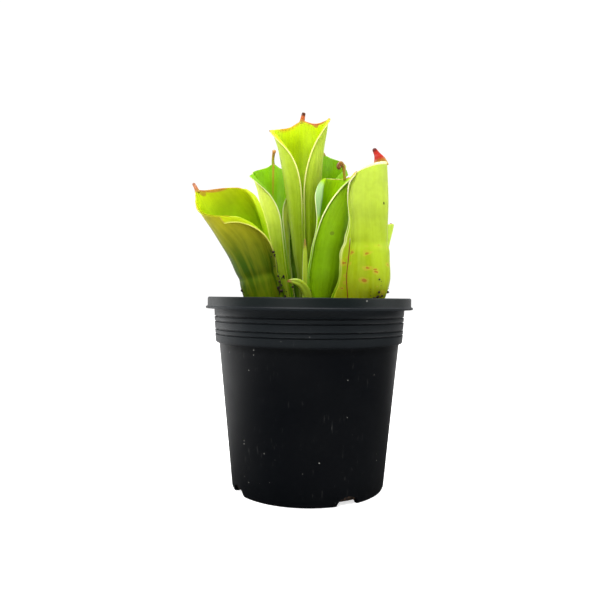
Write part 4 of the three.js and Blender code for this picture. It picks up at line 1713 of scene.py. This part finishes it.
def pitchers() -> list[Pitcher]:
    """Lists the clump's opened leaves, with the shapes that their CAD nodes have.

    Returns:
        The pitchers, from the tallest.
    """
    return [
        Pitcher(
            node="pitcher_tall_centre",
            slot="leaf_pale",
            finish=TALL,
            spine=((-2, 3, 0), (-2.3, 3, 30.5), (-4.2, 4, 67), (-5.2, 6, 93.4)),
            facing=(-90, -90),
            wide=(2.6, 3.4, 5.9, 7.5, 9.2, 11.4, 14.2),
            deep=(2.6, 3.4, 5.2, 6.8, 8, 9, 9.5),
            wing=(0.4, 1, 1.2, 1, 0.8, 0.8, 0.8),
            notch=0.55,
            corner=95,
            flare=2.2,
            hood=3,
            skew=3.5,
            peak=3.0,
            lifts=(0, -1),
            peak_at=0.02,
            peak_width=0.17,
            tips=(1.3, 0),
            spoon=Spoon(
                path=((0, 0, -1.5), (0.4, -0.2, 1.2), (1, -0.5, 4.4)),
                wide=(1.7, 1.2, 0.95),
                deep=(0.9, 0.9, 0.8),
                finish=SpoonFinish((0.5, 0.45, 0.02), (0.5, 0.11, 0.02), DARK, 0.62),
            ),
        ),
        Pitcher(
            node="pitcher_back_left",
            slot="leaf_bright",
            finish=BACK_LEFT,
            spine=((-7.5, 7, 0), (-15, 10, 17.5), (-17.9, 13.5, 46), (-18.3, 16.9, 68.3)),
            facing=(-60, -58, -80),
            wide=(2.6, 3.6, 4.6, 5.5, 6.5, 8.8, 12.2),
            deep=(2.6, 3.4, 4.4, 5, 6, 7.5, 9),
            wing=(0.4, 1, 1.2, 1, 0.6, 0.6, 1),
            notch=0.66,
            dirt=((-0.55, 0.2), (-0.7, 0.16), (0.9, 0.15)),
            corner=97,
            flare=1.9,
            hood=11,
            hood_curve=1.15,
            peak=1.5,
            tips=(0.8, 0.0),
            spoon=Spoon(
                path=((0, 0, -1.5), (-0.2, -0.1, 2.2), (0.2, -0.6, 5.6), (0.5, -2, 6.3), (0.6, -2.6, 4.8)),
                wide=(1.0, 0.75, 0.85, 1.0, 0.8),
                deep=(0.8, 0.7, 0.8, 0.8, 0.7),
                finish=SpoonFinish((0.22, 0.3, 0.01), (0.4, 0.2, 0.015), (0.42, 0.16, 0.015)),
            ),
        ),
        Pitcher(
            node="pitcher_front_left",
            slot="leaf_olive",
            finish=FRONT_LEFT,
            spine=((-18.5, -7, 0), (-26, -9, 13.5), (-26.5, -10, 36), (-35.2, -10.8, 46.3)),
            facing=(-15, -22, -42),
            wide=(4.5, 8.2, 9, 9.5, 10.6, 11.6, 11.8),
            deep=(4.5, 8.2, 9, 9.5, 10.6, 11.6, 11.8),
            wing=(0.6, 2.4, 2.4, 2, 1.8, 1.2, 1.2),
            left_wing=(0.6, 2.4, 2.4, 2, 1.2, 0.5, 0.2),
            lifts=(3, 0),
            notch=0.45,
            corner=108,
            flare=2.4,
            hood=21.6,
            hood_start=0.35,
            hood_curve=1.2,
            skew=4.2,
            peak=1,
            crease=(0.385, 0.6),
            dirt=(
                (-0.1, 0.23),
                (-0.3, 0.24),
                (-0.45, 0.22),
                (-0.93, 0.24),
                (-0.97, 0.3),
                (-0.99, 0.48),
                (-0.9, 0.24),
            ),
            spoon=Spoon(
                path=((1, 0, -1.2), (0.3, 0, 0.9), (-1.2, 0, 3.6)),
                wide=(1.3, 0.95, 0.7),
                deep=(0.9, 0.8, 0.6),
                finish=SpoonFinish((0.4, 0.3, 0.03), (0.42, 0.15, 0.05), (0.3, 0.1, 0.05)),
            ),
        ),
        Pitcher(
            node="pitcher_centre_right",
            slot="leaf_bright",
            finish=CENTRE_RIGHT,
            spine=((4, -5, 0), (7.5, -7, 15.5), (10, -8, 41.5), (14.5, -5.5, 64.7)),
            facing=(-140, -150, -120),
            wide=(3, 6, 8, 8.2, 8, 8, 7.8),
            deep=(3, 6, 7.8, 8, 8, 7.8, 7.8),
            wing=(0.6, 1.6, 1.6, 1.4, 1, 0.8, 1.2),
            left_wing=(0.6, 1.6, 1.6, 1.4, 1, 3.6, 1.6),
            dirt=((-0.95, 0.14), (-0.9, 0.17), (0.98, 0.15)),
            notch=0.55,
            corner=100,
            flare=2.6,
            hood=3,
            skew=1.5,
            peak=1,
            spoon=Spoon(
                path=(
                    (-2, 0, -1.5),
                    (-2.4, -0.1, 1.6),
                    (-2.8, -0.4, 4.8),
                    (-4.2, -1.2, 6.6),
                    (-5.3, -1.8, 4.9),
                    (-4.6, -2, 3.4),
                ),
                wide=(0.8, 0.75, 0.9, 1.1, 1.2, 0.9),
                deep=(0.7, 0.7, 0.75, 0.85, 0.85, 0.7),
                finish=SpoonFinish((0.3, 0.26, 0.01), (0.28, 0.12, 0.012), (0.14, 0.05, 0.01), 0.6),
            ),
        ),
        Pitcher(
            node="pitcher_back_right",
            slot="leaf_bright",
            finish=BACK_RIGHT,
            spine=((3, 12, 0), (4, 16, 22), (6, 22, 50), (6.6, 25, 72)),
            facing=(-95, -95),
            wide=(2.4, 3.6, 5, 6.5, 8, 9.8, 12.2),
            deep=(2.4, 3.4, 4.5, 6, 7.5, 9, 10),
            wing=(0.4, 1, 1.2, 1, 0.8, 0.8, 1.2),
            notch=0.6,
            corner=100,
            flare=2.4,
            hood=14.5,
            hood_start=0.6,
            hood_curve=1.5,
            peak=1,
            spoon=Spoon(
                path=((0, 0, -1.5), (-1.2, 0, 1), (-3, -0.6, 2)),
                wide=(1.1, 0.9, 0.9),
                deep=(0.8, 0.8, 0.7),
                finish=SpoonFinish((0.12, 0.3, 0.004), (0.3, 0.16, 0.015), (0.2, 0.05, 0.01)),
            ),
        ),
        Pitcher(
            node="pitcher_front_right",
            slot="leaf_pale",
            finish=FRONT_RIGHT,
            spine=((23, -14, 0), (29, -19, 12.5), (27, -20, 42), (26, -21.5, 63)),
            facing=(-160, -170, -197),
            wide=(5.5, 8.3, 10.2, 9.4, 8.4, 8.9, 8.7),
            deep=(5.5, 8.3, 10.2, 9.4, 8.4, 8.9, 8.7),
            wing=(11, 8, 3.6, 4.4, 1, 0.8, 1),
            left_wing=(11, 8, 3.6, 4.4, 1.6, 0.6, 0.5),
            seam_strip=2.4,
            notch=0.6,
            corner=110,
            flare=3.6,
            hood=6,
            crease=(0.57, 0.7),
            lifts=(-3, 0),
            dirt=((0.1, 0.23), (0.25, 0.22), (-0.05, 0.24), (0.4, 0.21)),
            spoon=Spoon(
                path=((-2.4, 0, -2.2), (-3.1, 0, 0.5), (-4.4, 0, 3.2), (-6.0, 0, 5.9)),
                wide=(3.8, 2.9, 1.5, 0.9),
                deep=(0.7, 0.8, 0.8, 0.8),
                finish=SpoonFinish((0.4, 0.34, 0.03), (0.42, 0.02, 0.01), DARK, 0.74),
            ),
        ),
        Pitcher(
            node="pitcher_back_shaded",
            slot="leaf_shaded",
            finish=BACK_SHADED,
            spine=((-6, 14.5, 0), (-9, 20, 20), (-11, 26.5, 40), (-12, 29.5, 60)),
            facing=(-85, -85),
            wide=(2.2, 3, 3.8, 4.4, 5, 5.6, 6.8),
            deep=(2.2, 3, 3.8, 4.2, 4.6, 5.2, 6),
            wing=(0.4, 0.8, 1, 0.8, 0.6, 0.6, 0.8),
            notch=0.62,
            corner=105,
            flare=2.4,
            hood=3,
            peak=1.5,
            spoon=Spoon(
                path=((0, 0, -1.2), (0, 0, 1.4), (0.3, -0.8, 3.2)),
                wide=(0.9, 0.8, 0.8),
                deep=(0.7, 0.7, 0.6),
                finish=SpoonFinish((0.1, 0.26, 0.004), BROWN, BROWN),
            ),
        ),
        Pitcher(
            node="pitcher_small_right",
            slot="leaf_bright",
            finish=SMALL_RIGHT,
            spine=((17, 3, 0), (31, 5, 11), (36, 6, 27), (35.3, 7, 42.7)),
            facing=(-165, -150),
            wide=(2.2, 2.8, 3.2, 3.5, 3.9, 4.8, 6.6),
            deep=(2.2, 2.8, 3.2, 3.5, 3.9, 4.8, 6.6),
            wing=(0.4, 0.8, 1, 0.8, 0.6, 0.6, 0.8),
            notch=0.62,
            corner=105,
            flare=2.4,
            hood=2,
            peak=0.5,
            dirt=((0.3, 0.16), (0.1, 0.22), (-0.6, 0.18)),
            spoon=Spoon(
                path=((0, 0, -1.2), (0, 0, -0.2), (0.2, 0.1, 0.5)),
                wide=(0.9, 0.8, 0.6),
                deep=(0.7, 0.7, 0.5),
                finish=SpoonFinish((0.3, 0.45, 0.02), BROWN, BROWN),
            ),
        ),
    ]


def shoots() -> list[Shoot]:
    """Lists the young leaves that have not opened.

    Returns:
        The shoots.
    """
    return [
        Shoot(
            node="young_leaf_upright",
            slot="leaf_pale",
            finish=SpoonFinish((0.2, 0.32, 0.006), (0.34, 0.45, 0.02), (0.2, 0.06, 0.012), 0.8),
            spine=((-2, -6, 0), (-1.8, -6.5, 12.5), (-2.2, -7, 24.5), (-2.4, -7.5, 36)),
            wide=(1.3, 1.4, 1.5, 1.4, 1.1, 0.4),
            deep=(1.1, 1.2, 1.2, 1.1, 0.9, 0.4),
        ),
        Shoot(
            node="young_leaf_curled",
            slot="leaf_pale",
            finish=SpoonFinish((0.14, 0.22, 0.002), (0.3, 0.42, 0.02), (0.3, 0.07, 0.03), 0.84),
            spine=((0.5, -12.5, 0), (0.5, -15, 10.5), (-3, -17, 16.5), (-10.5, -17, 15)),
            wide=(1.8, 2, 2, 1.9, 1.5, 0.6),
            deep=(1, 1.1, 1.1, 1, 0.8, 0.4),
            fold=0.45,
        ),
    ]


# ---------------------------------------------------------------- stage, light and camera


@dataclass(frozen=True)
class Softbox:
    """A square soft light: where it is, what it points at, its side and its power in watts."""

    name: str
    place: Triple
    aim: Triple
    side: float
    power: float

    def build(self) -> None:
        """Adds the light to the scene."""
        data = bpy.data.lights.new(self.name, "AREA")
        data.size = self.side
        data.energy = self.power
        lamp = bpy.data.objects.new(self.name, data)
        lamp.location = self.place
        lamp.rotation_euler = (Vector(self.aim) - Vector(self.place)).to_track_quat("-Z", "Y").to_euler()
        bpy.context.scene.collection.objects.link(lamp)


@dataclass
class Studio:
    """A pale floor, soft white light and the camera.

    Lengths are in metres. frame_shift is in shares of the picture's width. The glows are the strengths
    of the floor and the world, and seen_glow is the least that the camera sees of the world.
    """

    eye_distance: float = 0.2941
    roll: float = math.radians(0.58)
    frame_shift: Pair = (-0.0158333, -0.0041667)
    floor_radius: float = 6.0
    floor_glow: float = 0.7
    mirror_slant: float = -0.6
    mirror_from: Pair = (-0.02, 0.35)
    front_glow: float = 0.2
    back_glow: float = 0.85
    seen_glow: float = 1.05
    softboxes: tuple[Softbox, ...] = (
        Softbox("overhead", (0.0, -0.1, 1.1), (0, 0, 0.1), 0.9, 14),
        Softbox("front_high", (-0.35, -0.8, 1.0), (0, 0, 0.13), 0.6, 14),
        Softbox("left_side", (-0.98, 0.4, 0.1), (0, 0, 0.05), 1.0, 7),
        Softbox("right_side", (0.9, -0.05, 0.55), (0, 0, 0.14), 0.5, 4.2),
    )

    def build(self, pot: NurseryPot) -> None:
        """Makes the floor, the lights and the camera.

        Args:
            pot: The pot, whose rim is level with the camera.
        """
        self._floor()
        self._world()
        for softbox in self.softboxes:
            softbox.build()
        self._camera(pot.height * MM)

    def _floor(self) -> None:
        """Makes a wide, plain, pale floor, which glossy rays see near black in front of the pot and to its
        right: a painted dark reflection in the pot.
        """
        ground = bmesh.new()
        bmesh.ops.create_circle(ground, cap_ends=True, segments=96, radius=self.floor_radius)
        mesh = bpy.data.meshes.new("floor")
        ground.to_mesh(mesh)
        ground.free()
        floor = bpy.data.objects.new("floor", mesh)
        bpy.context.scene.collection.objects.link(floor)
        material, g, shader = Finish.start("pale_floor", Roughness=0.9)
        where = g.add("TexCoord").outputs["Object"]
        clouds = g.add("TexNoise", {"Vector": where, "Scale": 3}).outputs["Fac"]
        path = g.add("LightPath")
        tone = g.blend(clouds, (0.88, 0.88, 0.88), (0.9, 0.9, 0.9))
        parts = g.add("SeparateXYZ", {"Vector": where}).outputs
        # to glossy rays the floor turns near black in front of the pot and to its right, a painted dark
        # reflection in the pot
        far_left = g.maths("MULTIPLY_ADD", parts["X"], self.mirror_slant, parts["Y"])
        painted_reflection = g.blend(g.band(far_left, *self.mirror_from), (0.03, 0.03, 0.03), (0.75, 0.75, 0.75))
        g.feed(shader.inputs["Base Color"], g.blend(path.outputs["Is Glossy Ray"], tone, painted_reflection))
        g.feed(shader.inputs["Emission Color"], (1, 1, 1, 1))
        glow = g.maths("MULTIPLY", path.outputs["Is Camera Ray"], self.floor_glow)
        g.feed(shader.inputs["Emission Strength"], glow)
        mesh.materials.append(material)

    def _world(self) -> None:
        """Makes a world that is white all round to the eye, and a dimmer light on the plant."""
        world = bpy.data.worlds.new("studio")
        bpy.context.scene.world = world
        world.use_nodes = True
        g = Graph(world.node_tree)
        back = world.node_tree.nodes["Background"]
        seen = g.add("LightPath").outputs["Is Camera Ray"]
        toward = g.add("SeparateXYZ", {"Vector": g.add("TexCoord").outputs["Generated"]}).outputs["Y"]
        behind = g.band(toward, -0.15, 0.75)
        glow = g.maths("MULTIPLY_ADD", behind, self.back_glow - self.front_glow, self.front_glow)
        g.feed(back.inputs["Color"], (1, 1, 1, 1))
        g.feed(back.inputs["Strength"], g.maths("MAXIMUM", glow, g.maths("MULTIPLY", seen, self.seen_glow)))

    def _camera(self, eye_height: float) -> None:
        """Adds the camera, level with the pot's rim.

        Args:
            eye_height: Its height.
        """
        data = bpy.data.cameras.new("camera")
        data.lens = 36
        data.sensor_width = 36
        data.shift_x, data.shift_y = self.frame_shift
        data.clip_start = 0.01
        camera = bpy.data.objects.new("camera", data)
        turned_up = Matrix.Rotation(math.radians(90), 4, "X") @ Matrix.Rotation(self.roll, 4, "Z")
        camera.matrix_world = Matrix.Translation((0, -self.eye_distance, eye_height)) @ turned_up
        bpy.context.scene.collection.objects.link(camera)
        bpy.context.scene.camera = camera


def main() -> None:
    """Builds the plant in its pot, the light and the camera."""
    logging.basicConfig(level=logging.INFO, format="%(message)s")
    bpy.context.scene.view_settings.view_transform = "Standard"
    effects = Effects()
    pot = NurseryPot()
    log.info("pot: %d faces", len(pot.build(effects).data.polygons))
    potting_mix = PottingMix(pot)
    potting_mix.build(effects)
    log.info("mix and the pieces on it")
    for pitcher in pitchers():
        log.info("%s: %d points", pitcher.node, len(pitcher.build(effects).data.vertices))
        if pitcher.dirt:
            peat = ClingingPeat(pitcher)
            log.info("peat on it: %d faces", len(peat.build(potting_mix.materials[Crumb.PEAT]).data.polygons))
    for shoot in shoots():
        log.info("%s: %d points", shoot.node, len(shoot.build(effects).data.vertices))
    Studio().build(pot)


if __name__ == "__main__":
    main()
